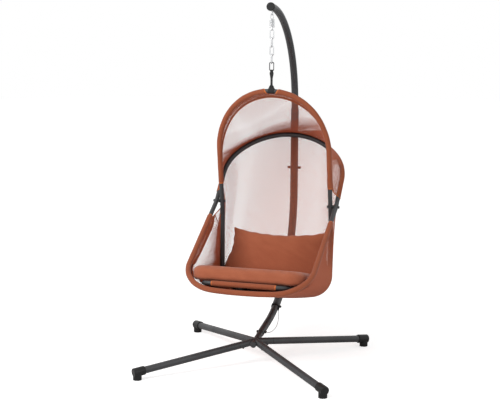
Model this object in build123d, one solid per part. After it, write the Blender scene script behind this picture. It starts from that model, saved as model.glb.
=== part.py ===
from build123d import *
import math
import os

# Hanging chair: a C-shaped mast on a four-legged foot carries a folding chair on a spring and chain.
# Millimetres, +Z up, -Y is the front. The pieces are drawn round the crossing of the four legs, and written
# with the origin on the floor in the middle of the whole chair's outline from above.

# Shared clearances
slip = 0.2
running = 0.08
rest_gap = 0.3

# Foot of the stand
leg_reach = 705.0
leg_dia = 38.0
leg_wall = 2.2
foot_axis_height = 42.0
stub_length = 105.0
spigot_length = 55.0
spigot_dia = 34.0
spigot_wall = 2.0
spigot_bond = 20.0
hub_front = 48.0
hub_wall = 3.0
hub_insert = 75.0
foot_cap_dia = 48.0
foot_cap_back = 42.0
foot_cap_front = 24.0
foot_pad_dia = 46.0
foot_edge = 4.0
leg_tip_clear = 6.0
leg_screw_dia = 6.0
leg_screw_head = 11.0
leg_screw_head_height = 4.0

# Mast
mast_dia = 40.0
mast_wall = 2.0
mast_sleeve_dia = 45.0
mast_back = 797.0
mast_slope = 10.6
lower_bend_r = 660.0
lower_bend_z = 815.0
upper_bend_r = 600.0
upper_bend_z = 1322.0
mast_start = 95.0
arm_end = 256.0
mast_joint_turn = 14.5
mast_insert_turn = 6.0
sleeve_top = 1310.0
upper_tube_bottom = 900.0
mast_bolt_z = 962.0
bolt_dia = 8.0
bolt_head_dia = 15.0
bolt_head_height = 7.0
mast_knob_height = 16.0
hub_bolt_inset = 24.0
cap_dia = 47.0
cap_thickness = 12.0
cap_plug = 24.0
cap_edge = 4.0
collar_dia = 50.0
collar_length = 14.0

# Tether between the collar and the hub bolt
tether_dia = 3.0
knob_dia = 14.0
knob_reach = 33.0
crimp_dia = 6.5
crimp_length = 16.0

# Eye, spring, chain and carabiner
hang_y = 280.0
eye_wire = 6.0
eye_mean_r = 9.0
eye_drop = 1.5
eye_nut_dia = 13.0
eye_nut_height = 7.0
eye_nut_lift = 15.5
bar_wire = 4.5
bar_half = 4.6
bar_loop_half = 7.5
bar_flare = 7.0
bar_foot = 15.0
coil_drop = 31.0
coil_length = 35.0
coil_wire = 4.0
coil_mean_r = 12.5
coil_quarters = 21
lower_loop_drop = 23.0
link_wire = 6.0
link_pitch = 45.0
link_half = 10.0
link_count = 4
carabiner_wire = 5.0
carabiner_length = 44.0
carabiner_half = 11.5
carabiner_corner = 6.0
gate_dia = 4.4
gate_length = 24.0
gate_nose_gap = 0.6
gate_pin_dia = 1.8

# Strap on the hoop
strap_thickness = 2.2
strap_eye_width = 10.5
strap_top_width = 21.0
strap_neck_width = 9.0
strap_shoulder = 12.0
strap_taper = 46.0
strap_length = 113.0
strap_wrap_width = 30.0
strap_wrap_clear = 0.3

# Chair tubes
tube_dia = 25.0
tube_wall = 2.0
light_wall = 1.2
inner_half = 316.0
hoop_side_gap = 7.0
hoop_lean = 9.75
hoop_leg = 309.0
hoop_shoulder_r = 385.0
hoop_shoulder_deg = 31.9
hoop_tail = 40.0
rear_lean = 0.0
rear_bend_drop = 72.0
rear_leg = 323.0
rear_corner_r = 120.0
rear_corner_deg = 80.0
rear_bend_r = 110.0
arch_rise_deg = 46.0
arch_leg = 189.0
arch_shoulder_r = 250.0
arch_shoulder_deg = 38.4
arch_bend_r = 150.0
front_fall_deg = 28.6
front_leg = 547.0
front_corner_r = 205.0
front_corner_deg = 85.0
front_joint = 160.0
tube_spigot_length = 40.0
button_dia = 7.0
button_drop = 16.0
button_height = 2.5

# Pivots
pivot_bolt_dia = 8.0
pivot_head_dia = 15.0
pivot_head_height = 6.0
spacer_dia = 22.0
pivot_gap = 0.4

# Seat frame
seat_bar_y = -235.0
seat_bar_z = 483.0
seat_half = 235.0
seat_corner_r = 50.0
seat_rear_half = 178.0
rail_short = 3.0
saddle_rise = 6.0
saddle_width = 26.0
saddle_length = 20.0
saddle_behind = 1.0
saddle_lift = 8.5
plug_rim = 3.0
plug_length = 16.0

# Cloth
cloth = 2.0
cloth_gap = 0.5
cloth_step_off = 0.02
sleeve_cloth = 2.6
hoop_sleeve_start = 107.0
hoop_sleeve_gap = 29.0
front_sleeve_start = 137.0
seat_sleeve_half = 178.0
canopy_on_hoop = 108.0
canopy_on_arch = 62.0
back_on_rear = 14.0
bucket_on_front = 145.0
cloth_steps = 48
corner_ease = 2.5

# Cushions
cushion_width = 630.0
cushion_rear_width = 540.0
cushion_depth = 575.0
cushion_thickness = 72.0
cushion_crown = 12.0
cushion_corner = 95.0
cushion_edge = 26.0
cushion_skin = 3.0
pillow_width = 530.0
pillow_height = 285.0
pillow_thickness = 120.0
pillow_draw_in = 12.0
pillow_up = 222.0
pillow_stand = 8.25

# Derived places
root2 = math.sqrt(2)
tube_r = tube_dia / 2
sleeve_r = tube_r + slip + sleeve_cloth
outer_half = inner_half + tube_dia + hoop_side_gap
bend_y = mast_back - lower_bend_r
slope = math.radians(mast_slope)
hub_tube_dia = mast_dia - 2 * mast_wall - 2 * slip
foot_y = bend_y + lower_bend_r * math.sin(slope)
foot_z = lower_bend_z - lower_bend_r * math.cos(slope)
mast_run = (0, math.cos(slope), math.sin(slope))
hub_z = foot_z - foot_y * math.tan(slope)


def on_foot_line(y):
    """Point of the sloping foot line of the mast at a given y."""
    return Vector(0, y, hub_z + y * math.tan(slope))


arm_turn = math.degrees(math.acos((arm_end - mast_back + upper_bend_r) / upper_bend_r))
eye_turn = math.acos((hang_y - mast_back + upper_bend_r) / upper_bend_r)
arm_z = upper_bend_z + upper_bend_r * math.sin(eye_turn)
arm_under = arm_z - mast_dia / 2 / math.sin(eye_turn)
eye_z = arm_under - eye_drop - eye_mean_r - eye_wire / 2
upper_loop_z = eye_z - eye_mean_r + eye_wire / 2 + bar_wire / 2 + rest_gap
coil_top = upper_loop_z - coil_drop
coil_bottom = coil_top - coil_length
lower_loop_z = coil_bottom - lower_loop_drop
first_link_z = lower_loop_z + bar_wire / 2 + link_wire / 2 + rest_gap
link_drop = link_pitch - rest_gap
last_link_bottom = first_link_z - (link_count - 1) * link_drop - link_pitch - link_wire
carabiner_top = last_link_bottom + link_wire / 2 + carabiner_wire / 2 + rest_gap
carabiner_bottom = carabiner_top - carabiner_length
hoop_top_z = carabiner_bottom - strap_length


def crown_radius(half, shoulder_r, shoulder_deg):
    """Radius of the crown arc that joins two shoulder arcs smoothly."""
    return (half - shoulder_r) / math.cos(math.radians(shoulder_deg)) + shoulder_r


def hoop_height(half, leg, shoulder_r, shoulder_deg):
    """Height of a hoop from its foot line to its crown."""
    rise = math.sin(math.radians(shoulder_deg))
    return leg + shoulder_r * rise + crown_radius(half, shoulder_r, shoulder_deg) * (1 - rise)


lean = math.radians(hoop_lean)
hoop_up = Vector(0, -math.sin(lean), math.cos(lean))
hoop_rise = hoop_height(inner_half, hoop_leg, hoop_shoulder_r, hoop_shoulder_deg)
pivot = Vector(0, hang_y, hoop_top_z) - hoop_up * hoop_rise
rear_bend = pivot - hoop_up * rear_bend_drop
rear_down = Vector(0, math.sin(math.radians(rear_lean)), -math.cos(math.radians(rear_lean)))
arch_up = Vector(0, math.cos(math.radians(arch_rise_deg)), math.sin(math.radians(arch_rise_deg)))
front_down = Vector(0, -math.cos(math.radians(front_fall_deg)), -math.sin(math.radians(front_fall_deg)))
across = Vector(1, 0, 0)


def side(point, x):
    """The same point moved to one side of the chair."""
    return Vector(x, point.Y, point.Z)


def hoop_plane(origin, rise):
    """Plane of a hoop: x across the chair, y along the hoop's legs."""
    return Plane(origin=origin, x_dir=across, z_dir=across.cross(rise))


def arch_arcs(half, leg, shoulder_r, shoulder_deg):
    """Shoulder, crown and shoulder of a hoop in its own plane, from the right leg to the left."""
    crown_r = crown_radius(half, shoulder_r, shoulder_deg)
    near = JernArc((half, leg), (0, 1), shoulder_r, shoulder_deg)
    crown = JernArc(near @ 1, near % 1, crown_r, 180 - 2 * shoulder_deg)
    far = JernArc(crown @ 1, crown % 1, shoulder_r, shoulder_deg)
    return [near, crown, far]


def hoop_wire(plane, half, start, leg, shoulder_r, shoulder_deg):
    """Whole flat hoop from the right leg's start to the left leg's start."""
    arcs = arch_arcs(half, leg, shoulder_r, shoulder_deg)
    pieces = [Line((half, start), (half, leg)), *arcs, Line((-half, leg), (-half, start))]
    return Wire([(plane * piece).edge() for piece in pieces])


def bent_hoop_wire(plane, half, tail, bend_r, leg, shoulder_r, shoulder_deg):
    """Hoop whose legs turn at the plane's origin and run on to the tail point."""
    edges = []
    for sign in (1, -1):
        elbow = side(plane.origin, sign * half)
        knee = elbow + plane.y_dir * leg
        edges += FilletPolyline(side(tail, sign * half), elbow, knee, radius=bend_r).edges()
    edges += [(plane * arc).edge() for arc in arch_arcs(half, leg, shoulder_r, shoulder_deg)]
    return Wire(edges)


def rod(start, end, dia):
    """Solid round bar between two points."""
    run = Vector(end) - Vector(start)
    bar = Cylinder(dia / 2, run.length, align=(Align.CENTER, Align.CENTER, Align.MIN))
    return Plane(origin=start, z_dir=run) * bar


def pipe(start, end, dia, wall):
    """Straight round tube between two points."""
    return rod(start, end, dia) - rod(start, end, dia - 2 * wall)


def swept(path, dia):
    """Round bar along a path."""
    return sweep(Plane(origin=path @ 0, z_dir=path % 0) * Circle(dia / 2), path)


def tube(path, dia, wall):
    """Round tube along a path."""
    return swept(path, dia) - swept(path, dia - 2 * wall)


def cross_hole(part, centre, dia, reach):
    """Cut a hole along X through a part."""
    return part - rod(centre - across * reach, centre + across * reach, dia)


parts = {}

# Foot: hub tube along the foot line with four leg stubs, legs with spigots, screws and foot caps
hub = Vector(0, 0, hub_z)
hub_end = on_foot_line(mast_start) + Vector(mast_run) * hub_insert
hub_nose = on_foot_line(-hub_front)
base_hub = rod(hub_nose, hub_end, hub_tube_dia)
hub_bore = rod(on_foot_line(mast_start), hub_end, hub_tube_dia - 2 * hub_wall)
corners = {"front_left": (-1, -1), "front_right": (1, -1), "rear_left": (-1, 1), "rear_right": (1, 1)}
leg_length = math.hypot(leg_reach, hub_z - foot_axis_height)
screws = []
stub_bores = []
screw_at = stub_length - spigot_length / 2
for corner, (sx, sy) in corners.items():
    foot = Vector(sx * leg_reach / root2, sy * leg_reach / root2, foot_axis_height)
    run = (foot - hub).normalized()
    leg_plane = Plane(origin=hub, x_dir=(-run.Y, run.X, 0), z_dir=run)
    up = leg_plane.y_dir

    def along(distance):
        """Point on the leg's axis."""
        return hub + run * distance

    screw_shank = rod(along(screw_at) - up * leg_dia / 2, along(screw_at), leg_screw_dia)
    screw_hole = rod(along(screw_at) - up * leg_dia, along(screw_at), leg_screw_dia + 2 * slip)
    head_top = along(screw_at) - up * (leg_dia / 2 + rest_gap)
    screw_head = rod(head_top - up * leg_screw_head_height, head_top, leg_screw_head)
    link = rod(head_top, along(screw_at) - up * leg_dia / 2, leg_screw_dia)
    screws.append((screw_shank + link + screw_head).solid())
    base_hub += rod(hub, along(stub_length), leg_dia)
    bore_end = along(stub_length - spigot_length - slip)
    stub_bores.append(rod(bore_end, along(stub_length), spigot_dia + 2 * slip))
    stub_bores.append(screw_hole)
    leg_end = leg_length + foot_cap_front - leg_tip_clear
    leg = pipe(along(stub_length), along(leg_end), leg_dia, leg_wall)
    spigot_from = along(stub_length - spigot_length)
    leg += pipe(spigot_from, along(stub_length + spigot_bond), spigot_dia, spigot_wall)
    parts["leg_" + corner] = leg - screw_hole
    sleeve = rod(along(leg_length - foot_cap_back), along(leg_length + foot_cap_front), foot_cap_dia)
    sleeve = fillet(sleeve.edges().filter_by(GeomType.CIRCLE), foot_edge)
    pad = rod((foot.X, foot.Y, 0), foot, foot_pad_dia)
    cap = sleeve + pad
    parts["foot_" + corner] = cap - rod(hub, along(leg_end + slip), leg_dia + 2 * slip)
for cut in stub_bores:
    base_hub -= cut
base_hub -= hub_bore

# Mast: lower tube over the hub, wide middle sleeve, upper tube with the arm
foot_line_start = on_foot_line(mast_start)
straight = Line((foot_line_start.Y, foot_line_start.Z), (foot_y, foot_z))
lower_arc = JernArc(straight @ 1, straight % 1, lower_bend_r, mast_joint_turn + mast_insert_turn)
lower_path = Wire([(Plane.YZ * piece).edge() for piece in (straight, lower_arc)])
mast_lower = tube(lower_path, mast_dia, mast_wall)
joint_arc = JernArc(straight @ 1, straight % 1, lower_bend_r, mast_joint_turn)
middle_arc = JernArc(joint_arc @ 1, joint_arc % 1, lower_bend_r, 90 - mast_slope - mast_joint_turn)
post = Line(middle_arc @ 1, (mast_back, sleeve_top))
middle_path = Wire([(Plane.YZ * piece).edge() for piece in (middle_arc, post)])
sleeve_wall = (mast_sleeve_dia - mast_dia) / 2 - slip
mast_middle = tube(middle_path, mast_sleeve_dia, sleeve_wall)
riser = Line((mast_back, upper_tube_bottom), (mast_back, upper_bend_z))
arm_arc = JernArc(riser @ 1, riser % 1, upper_bend_r, arm_turn)
upper_path = Wire([(Plane.YZ * piece).edge() for piece in (riser, arm_arc)])
mast_upper = tube(upper_path, mast_dia, mast_wall)


def cross_bolt(centre, half_grip, head_height):
    """Bolt along X with a round head on the right and a nut on the left."""
    head_face = centre + across * (half_grip + slip)
    nut_face = centre - across * (half_grip + slip)
    bolt_end = nut_face - across * head_height
    head = rod(head_face, head_face + across * head_height, bolt_head_dia)
    shank = rod(bolt_end, head_face, bolt_dia)
    nut = rod(bolt_end, nut_face, bolt_head_dia) - rod(bolt_end, nut_face, bolt_dia + 2 * slip)
    return head + shank, nut


bolt_hole = bolt_dia + 2 * slip
hub_bolt_at = on_foot_line(mast_start + hub_bolt_inset)
mast_lower = cross_hole(mast_lower, hub_bolt_at, bolt_hole, mast_dia)
base_hub = cross_hole(base_hub, hub_bolt_at, bolt_hole, mast_dia)
hub_bolt, parts["hub_nut"] = cross_bolt(hub_bolt_at, mast_dia / 2, bolt_head_height)
mast_bolt_at = Vector(0, mast_back, mast_bolt_z)
mast_middle = cross_hole(mast_middle, mast_bolt_at, bolt_hole, mast_sleeve_dia)
mast_upper = cross_hole(mast_upper, mast_bolt_at, bolt_hole, mast_sleeve_dia)
mast_bolt, mast_nut = cross_bolt(mast_bolt_at, mast_sleeve_dia / 2, mast_knob_height)
parts["mast_bolt"] = mast_bolt
parts["mast_nut"] = mast_nut

# Arm end cap: a rounded disc with a plug
arm_tip = Vector(0, (arm_arc @ 1).X, (arm_arc @ 1).Y)
tip_run = Vector(0, (arm_arc % 1).X, (arm_arc % 1).Y)
disc = rod(arm_tip, arm_tip + tip_run * cap_thickness, cap_dia)
disc = fillet(disc.edges().filter_by(GeomType.CIRCLE).sort_by(Axis.Y)[0], cap_edge)
plug_dia = mast_dia - 2 * mast_wall - 4 * slip
parts["mast_end_cap"] = disc + rod(arm_tip - tip_run * cap_plug / 2, arm_tip, plug_dia)

# Eye bolt under the arm, held by a nut inside the tube
eye_centre = Vector(0, hang_y, eye_z)
eye_nut_z = arm_z - eye_nut_lift
eye_ring = Plane(origin=eye_centre, z_dir=across) * Torus(eye_mean_r, eye_wire / 2)
eye_top = Vector(0, hang_y, eye_nut_z + eye_nut_height)
eye_shank = rod(eye_centre + Vector(0, 0, eye_mean_r), eye_top, eye_wire)
parts["eye_bolt"] = eye_ring + eye_shank
eye_nut = rod((0, hang_y, eye_nut_z), eye_top, eye_nut_dia)
parts["eye_nut"] = eye_nut - rod((0, hang_y, eye_nut_z), eye_top, eye_wire + 2 * slip)
mast_upper -= rod(eye_centre, eye_top, eye_wire + 2 * slip)

# Collar below the middle sleeve, with the tether's knob and crimp
collar_face = Vector(0, (joint_arc @ 1).X, (joint_arc @ 1).Y)
collar_run = Vector(0, (joint_arc % 1).X, (joint_arc % 1).Y)
collar_end = collar_face - collar_run * collar_length
collar = rod(collar_end, collar_face, collar_dia) - rod(collar_end, collar_face, mast_dia + 2 * slip)
parts["mast_collar"] = collar
knob_at = (collar_face + collar_end) * 0.5
knob = rod(knob_at, knob_at + across * knob_reach, knob_dia)
from_knob = [(24, -25, -17), (24, -28, -39), (23, -20, -62)]
from_knob += [(22, -25, -85), (22, -51, -101), (22, -91, -107)]
from_bolt = [(22, 157, -34), (22, 111, -29), (22, 69, -22), (23, 37, -13), (24, 15, -2)]
tether_points = [knob_at + Vector(*place) for place in from_knob]
tether_points += [hub_bolt_at + Vector(*place) for place in from_bolt]
print("tether points", [tuple(round(n, 2) for n in point) for point in tether_points])


def crimp_end(tip, beyond):
    """Far end of the crimp that continues the cord's last run."""
    return Vector(tip) + (Vector(tip) - Vector(beyond)).normalized() * crimp_length


crimp_top = crimp_end(tether_points[0], tether_points[1])
knob += rod(crimp_top, tether_points[0], crimp_dia)
knob += rod(side(knob_at, crimp_top.X), crimp_top, crimp_dia)
knob += Pos(crimp_top) * Sphere(crimp_dia / 2)
parts["tether_anchor"] = knob - rod(collar_end, collar_face + collar_run, collar_dia)
crimp_low = crimp_end(tether_points[-1], tether_points[-2])
parts["hub_bolt"] = hub_bolt + rod(crimp_low, tether_points[-1], crimp_dia)


def cord_radii(points):
    """Largest arc at each corner: 0.45 of the shorter run over the tangent of half the turn."""
    radii = []
    for before, here, after in zip(points, points[1:], points[2:]):
        run_in = Vector(here) - Vector(before)
        run_out = Vector(after) - Vector(here)
        half_turn = math.radians(run_in.get_angle(run_out)) / 2
        radii.append(0.45 * min(run_in.length, run_out.length) / math.tan(half_turn))
    return radii


tether_radii = cord_radii(tether_points)
print("tether radii", [round(r) for r in tether_radii])
tether_path = FilletPolyline(*tether_points, radius=tether_radii)
tether_wire = Wire(tether_path.edges())
parts["tether_cord"] = swept(tether_wire, tether_dia)
tether_section = math.pi * tether_dia ** 2 / 4
print("tether length", round(tether_wire.length), "volume ratio",
      round(parts["tether_cord"].volume / (tether_section * tether_wire.length), 4))

# Spring: two drawbars through a coil, each hooked under the far end of the coil
hang_plane = Plane(origin=(0, hang_y, 0), x_dir=(1, 0, 0), z_dir=(0, -1, 0))
side_plane = Plane(origin=(0, hang_y, 0), x_dir=(0, 1, 0), z_dir=(1, 0, 0))
coil_clear = coil_wire / 2 + bar_wire / 2 + rest_gap


def drawbar(plane, foot_z, loop_z):
    """Wire bar with a loop at one end and two outward feet at the other."""
    way = 1 if loop_z > foot_z else -1
    coil_end = coil_top if way > 0 else coil_bottom
    flare_start = coil_end + way * coil_clear
    flare_end = flare_start + way * bar_flare
    shoulder = loop_z - way * bar_loop_half
    half = [(bar_foot, foot_z), (bar_half, foot_z), (bar_half, flare_start), (bar_loop_half, flare_end)]
    down = FilletPolyline(*half, (bar_loop_half, shoulder), radius=bar_wire * 0.8)
    up_points = [(-x, z) for x, z in reversed(half)]
    up_leg = FilletPolyline((-bar_loop_half, shoulder), *up_points, radius=bar_wire * 0.8)
    over = ThreePointArc((bar_loop_half, shoulder), (0, loop_z), (-bar_loop_half, shoulder))
    edges = [*down.edges(), over.edge(), *up_leg.edges()]
    path = Wire([(plane * edge) for edge in edges])
    start = Plane(origin=path @ 0, z_dir=path % 0)
    return sweep(start * Circle(bar_wire / 2), path)


parts["spring_upper_bar"] = drawbar(hang_plane, coil_bottom - coil_clear, upper_loop_z)
parts["spring_lower_bar"] = drawbar(side_plane, coil_top + coil_clear, lower_loop_z)


def biarc(start, start_run, end, end_run):
    """Two arcs in a row that leave and arrive along the given directions."""
    span = end - start
    both = start_run + end_run
    turn = 2 * (1 - start_run.dot(end_run))
    reach = (math.sqrt(span.dot(both) ** 2 + turn * span.dot(span)) - span.dot(both)) / turn
    middle = (start + end + (start_run - end_run) * reach) * 0.5
    middle_run = span - both * reach
    first = TangentArc(start, middle, tangent=start_run)
    second = TangentArc(middle, end, tangent=middle_run)
    return [first.edge(), second.edge()]


def coil_point(quarter, pitch):
    """Place and direction on the coil after a number of quarter turns."""
    angle = quarter * math.pi / 2
    height = coil_bottom + pitch * quarter / 4
    place = Vector(coil_mean_r * math.cos(angle), hang_y + coil_mean_r * math.sin(angle), height)
    run = Vector(-coil_mean_r * math.sin(angle), coil_mean_r * math.cos(angle), pitch / (2 * math.pi))
    return place, run.normalized()


coil_pitch = 4 * coil_length / coil_quarters
coil_edges = []
for quarter in range(coil_quarters):
    coil_edges += biarc(*coil_point(quarter, coil_pitch), *coil_point(quarter + 1, coil_pitch))
coil_path = Wire(coil_edges)
parts["spring_coil"] = swept(coil_path, coil_wire)
samples = [coil_path @ (i / (10 * coil_quarters)) for i in range(10 * coil_quarters + 1)]
coil_gap = min((a - b).length for i, a in enumerate(samples) for b in samples[i + 20:]) - coil_wire
print("least gap between coil turns", round(coil_gap, 2))


def ring_path(plane, top, bottom, half):
    """Closed oval in a plane, round at both ends."""
    right = Line((half, bottom + half), (half, top - half))
    cap = ThreePointArc((half, top - half), (0, top), (-half, top - half))
    left = Line((-half, top - half), (-half, bottom + half))
    base = ThreePointArc((-half, bottom + half), (0, bottom), (half, bottom + half))
    return Wire([(plane * piece).edge() for piece in (right, cap, left, base)])


for number in range(link_count):
    top = first_link_z - number * link_drop
    plane = side_plane if number % 2 else hang_plane
    link = ring_path(plane, top, top - link_pitch - link_wire, link_half)
    parts[f"chain_link_{number + 1}"] = swept(link, link_wire)

# Carabiner: a C-shaped body, open on the right, closed by a hinged gate
gate_low = (carabiner_top + carabiner_bottom - gate_length) / 2
gate_high = gate_low + gate_length
carabiner_shape = RectangleRounded(2 * carabiner_half, carabiner_length, carabiner_corner)
carabiner_middle = (carabiner_top + carabiner_bottom) / 2
carabiner_ring = (hang_plane * Pos(0, carabiner_middle) * carabiner_shape).wire()
gate_foot = Vector(carabiner_half, hang_y, gate_low)
gate_head = Vector(carabiner_half, hang_y, gate_high)
lift = Vector(0, 0, gate_nose_gap)
body = swept(carabiner_ring, carabiner_wire)
parts["carabiner_body"] = body - rod(gate_foot - lift, gate_head + lift, carabiner_wire * 2)
parts["carabiner_gate"] = rod(gate_foot, gate_head, gate_dia)
pin_half = Vector(0, carabiner_wire / 2, 0)
pin_at = gate_foot + Vector(0, 0, gate_dia / 2)
parts["carabiner_pin"] = rod(pin_at - pin_half, pin_at + pin_half, gate_pin_dia)
parts["carabiner_gate"] -= rod(pin_at - pin_half, pin_at + pin_half, gate_pin_dia + 2 * running)

# Strap: eye round the carabiner, tapering web, wrap round the hoop
eye_in = carabiner_wire / 2 + rest_gap
strap_eye = Vector(0, hang_y, carabiner_bottom)
hoop_top = Vector(0, hang_y, hoop_top_z)
wrap_in = tube_r + strap_wrap_clear
half_eye = across * strap_eye_width / 2
half_wrap = across * strap_wrap_width / 2
web_top = carabiner_bottom - eye_in - strap_thickness / 2
web_levels = [
    (web_top, strap_eye_width),
    (web_top - strap_shoulder, strap_top_width),
    (web_top - strap_taper, strap_neck_width),
    (hoop_top_z + wrap_in + strap_thickness + strap_neck_width, strap_neck_width),
    (hoop_top_z + wrap_in + strap_thickness / 2, strap_wrap_width),
]
web_sections = [
    Plane(origin=(0, hang_y, z)) * Rectangle(width, strap_thickness * 2) for z, width in web_levels
]
strap = loft(web_sections, ruled=True)
strap += rod(strap_eye - half_eye, strap_eye + half_eye, 2 * (eye_in + strap_thickness))
strap += rod(hoop_top - half_wrap, hoop_top + half_wrap, 2 * (wrap_in + strap_thickness))
strap -= rod(strap_eye - half_wrap, strap_eye + half_wrap, 2 * eye_in)
parts["hanging_strap"] = strap - rod(hoop_top - half_wrap, hoop_top + half_wrap, 2 * wrap_in)

# Chair tubes: the hanging hoop and rear frame in line, the back arch and front loop outside them
hoop_frame = hoop_plane(pivot, hoop_up)
rear_frame = hoop_plane(rear_bend, rear_down)
arch_frame = hoop_plane(pivot, arch_up)
front_frame = hoop_plane(pivot, front_down)
hoop_shape = (hoop_leg, hoop_shoulder_r, hoop_shoulder_deg)
rear_shape = (rear_leg, rear_corner_r, rear_corner_deg)
arch_shape = (arch_leg, arch_shoulder_r, arch_shoulder_deg)
front_shape = (front_leg, front_corner_r, front_corner_deg)
hanging_hoop = tube(hoop_wire(hoop_frame, inner_half, -hoop_tail, *hoop_shape), tube_dia, tube_wall)
rear_tail = pivot - hoop_up * hoop_tail
rear_wire = bent_hoop_wire(rear_frame, inner_half, rear_tail, rear_bend_r, *rear_shape)
rear_lower = tube(rear_wire, tube_dia, tube_wall)
arch_tail = pivot + front_down * front_joint
arch_wire = bent_hoop_wire(arch_frame, outer_half, arch_tail, arch_bend_r, *arch_shape)
back_arch = tube(arch_wire, tube_dia, tube_wall)
front_loop = tube(hoop_wire(front_frame, outer_half, front_joint, *front_shape), tube_dia, light_wall)

# Spigots that join the tubes, and the snap buttons of the rear frame
tube_spigot = tube_dia - 2 * tube_wall - 2 * slip
spigot_root = tube_dia - tube_wall
buttons = []
for sign in (1, -1):
    tail = side(rear_tail, sign * inner_half)
    neck = tail - hoop_up * tube_wall
    rear_lower += rod(neck, tail + hoop_up * (hoop_tail - pivot_bolt_dia), tube_spigot)
    rear_lower += rod(neck, tail, spigot_root)
    joint = side(arch_tail, sign * outer_half)
    root = joint + front_down * tube_wall
    front_loop += rod(root, joint - front_down * tube_spigot_length, tube_spigot)
    front_loop += rod(root, joint, spigot_root)
    outward = across * sign
    button_at = tail + hoop_up * button_drop
    button = rod(button_at, button_at + outward * (tube_r + button_height), button_dia)
    hole = rod(button_at, button_at + outward * tube_dia, button_dia + 2 * slip)
    hanging_hoop -= hole
    rear_lower -= hole
    buttons.append(button.solid())

# Pivots: bolts along X through both tubes, with a spacer seated on the inner tube
bolts = []
nuts = []
spacers = []
for sign in (1, -1):
    outward = across * sign
    centre = side(pivot, sign * inner_half)
    head_face = centre - outward * (tube_r + pivot_gap)
    nut_face = side(pivot, sign * outer_half) + outward * (tube_r + pivot_gap)
    bolt_end = nut_face + outward * pivot_head_height
    bolt = rod(head_face, bolt_end, pivot_bolt_dia)
    bolts.append((bolt + rod(head_face - outward * pivot_head_height, head_face, pivot_head_dia)).solid())
    nut = rod(nut_face, bolt_end, pivot_head_dia)
    nuts.append((nut - rod(nut_face, bolt_end, pivot_bolt_dia + 2 * slip)).solid())
    spacer_end = side(pivot, sign * (outer_half - tube_r - pivot_gap))
    spacer = rod(centre, spacer_end, spacer_dia) - rod(centre, spacer_end, pivot_bolt_dia + 2 * slip)
    spacer -= rod(centre - hoop_up * spacer_dia, centre + hoop_up * spacer_dia, tube_dia + 2 * slip)
    spacers.append(spacer.solid())
    hanging_hoop = cross_hole(hanging_hoop, centre, pivot_bolt_dia + 2 * slip, tube_dia)
    far_centre = side(pivot, sign * outer_half)
    back_arch = cross_hole(back_arch, far_centre, pivot_bolt_dia + 2 * running, tube_dia)

# Seat frame: a U tube whose rails run back to two saddles on the rear frame
rear_bottom = rear_bend + rear_down * hoop_height(inner_half, *rear_shape)
seat_bar = Vector(0, seat_bar_y, seat_bar_z)
rear_crown_r = crown_radius(inner_half, rear_corner_r, rear_corner_deg)
rail_seat = Vector(0, 0, rear_crown_r - math.sqrt(rear_crown_r ** 2 - seat_rear_half ** 2))
rail_rest = rear_bottom + rail_seat + Vector(0, -rail_short, tube_dia + saddle_rise)
seat_run = (rail_rest - seat_bar).normalized()
seat_plane = Plane(origin=seat_bar, x_dir=across, z_dir=across.cross(seat_run))
rail_length = (rail_rest - seat_bar).length
seat_path = FilletPolyline((-seat_rear_half, rail_length), (-seat_half, 0), (seat_half, 0),
                           (seat_rear_half, rail_length), radius=seat_corner_r)
seat_wire = Wire([(seat_plane * edge) for edge in seat_path.edges()])
parts["seat_frame"] = tube(seat_wire, tube_dia, light_wall)
rear_solid = swept(rear_wire, tube_dia + 2 * slip)
saddles = []
plugs = []
for sign in (1, -1):
    rail_start = seat_plane.from_local_coords(Vector(sign * seat_half, 0, 0))
    rail_end = seat_plane.from_local_coords(Vector(sign * seat_rear_half, rail_length, 0))
    rail_run = (rail_end - rail_start).normalized()
    saddle_at = side(rear_bottom, sign * seat_rear_half) + rail_seat + Vector(0, saddle_behind, saddle_lift)
    saddle_height = tube_dia + saddle_rise - saddle_lift
    saddle = Box(saddle_width, saddle_length, saddle_height, align=(Align.CENTER, Align.MAX, Align.MIN))
    saddle = Pos(saddle_at) * saddle - rod(rail_start, rail_end + rail_run * tube_dia, tube_dia + 2 * slip)
    saddles.append((saddle - rear_solid).solids().sort_by(SortBy.VOLUME)[-1])
    plug = rod(rail_end, rail_end + rail_run * plug_rim, tube_dia)
    plug += rod(rail_end - rail_run * plug_length, rail_end, tube_dia - 2 * light_wall - 2 * slip)
    plugs.append(plug.solid())

# Sleeves sewn round the tubes
sleeve_dia = 2 * sleeve_r
near, crown, far = arch_arcs(inner_half, *hoop_shape)
crown_r = crown_radius(inner_half, hoop_shoulder_r, hoop_shoulder_deg)
crown_turn = 90 - hoop_shoulder_deg - math.degrees(math.asin(hoop_sleeve_gap / crown_r))
half_crown = JernArc(near @ 1, near % 1, crown_r, crown_turn)
half_hoop = [Line((inner_half, hoop_sleeve_start), (inner_half, hoop_leg)), near, half_crown]
right_wire = Wire([(hoop_frame * piece).edge() for piece in half_hoop])
parts["hoop_sleeve_right"] = tube(right_wire, sleeve_dia, sleeve_cloth)
parts["hoop_sleeve_left"] = mirror(parts["hoop_sleeve_right"], about=Plane.YZ)
front_sleeve_wire = hoop_wire(front_frame, outer_half, front_sleeve_start, *front_shape)
parts["front_loop_sleeve"] = tube(front_sleeve_wire, sleeve_dia, sleeve_cloth)
seat_sleeve_end = across * seat_sleeve_half
seat_bar_sleeve = pipe(seat_bar - seat_sleeve_end, seat_bar + seat_sleeve_end, sleeve_dia, sleeve_cloth)
parts["seat_bar_sleeve"] = seat_bar_sleeve


def stand_clear(wire, share, run, clear):
    """Point along a run from a bent tube's centre line that stands clear of the tube and of its bends."""
    reach = clear / run.cross(wire % share).length
    short = clear
    while short > cloth_step_off:
        point = wire @ share + run * reach
        short = clear - wire.distance_to(Vertex(*point))
        reach += max(short, 0)
    return point


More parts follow.
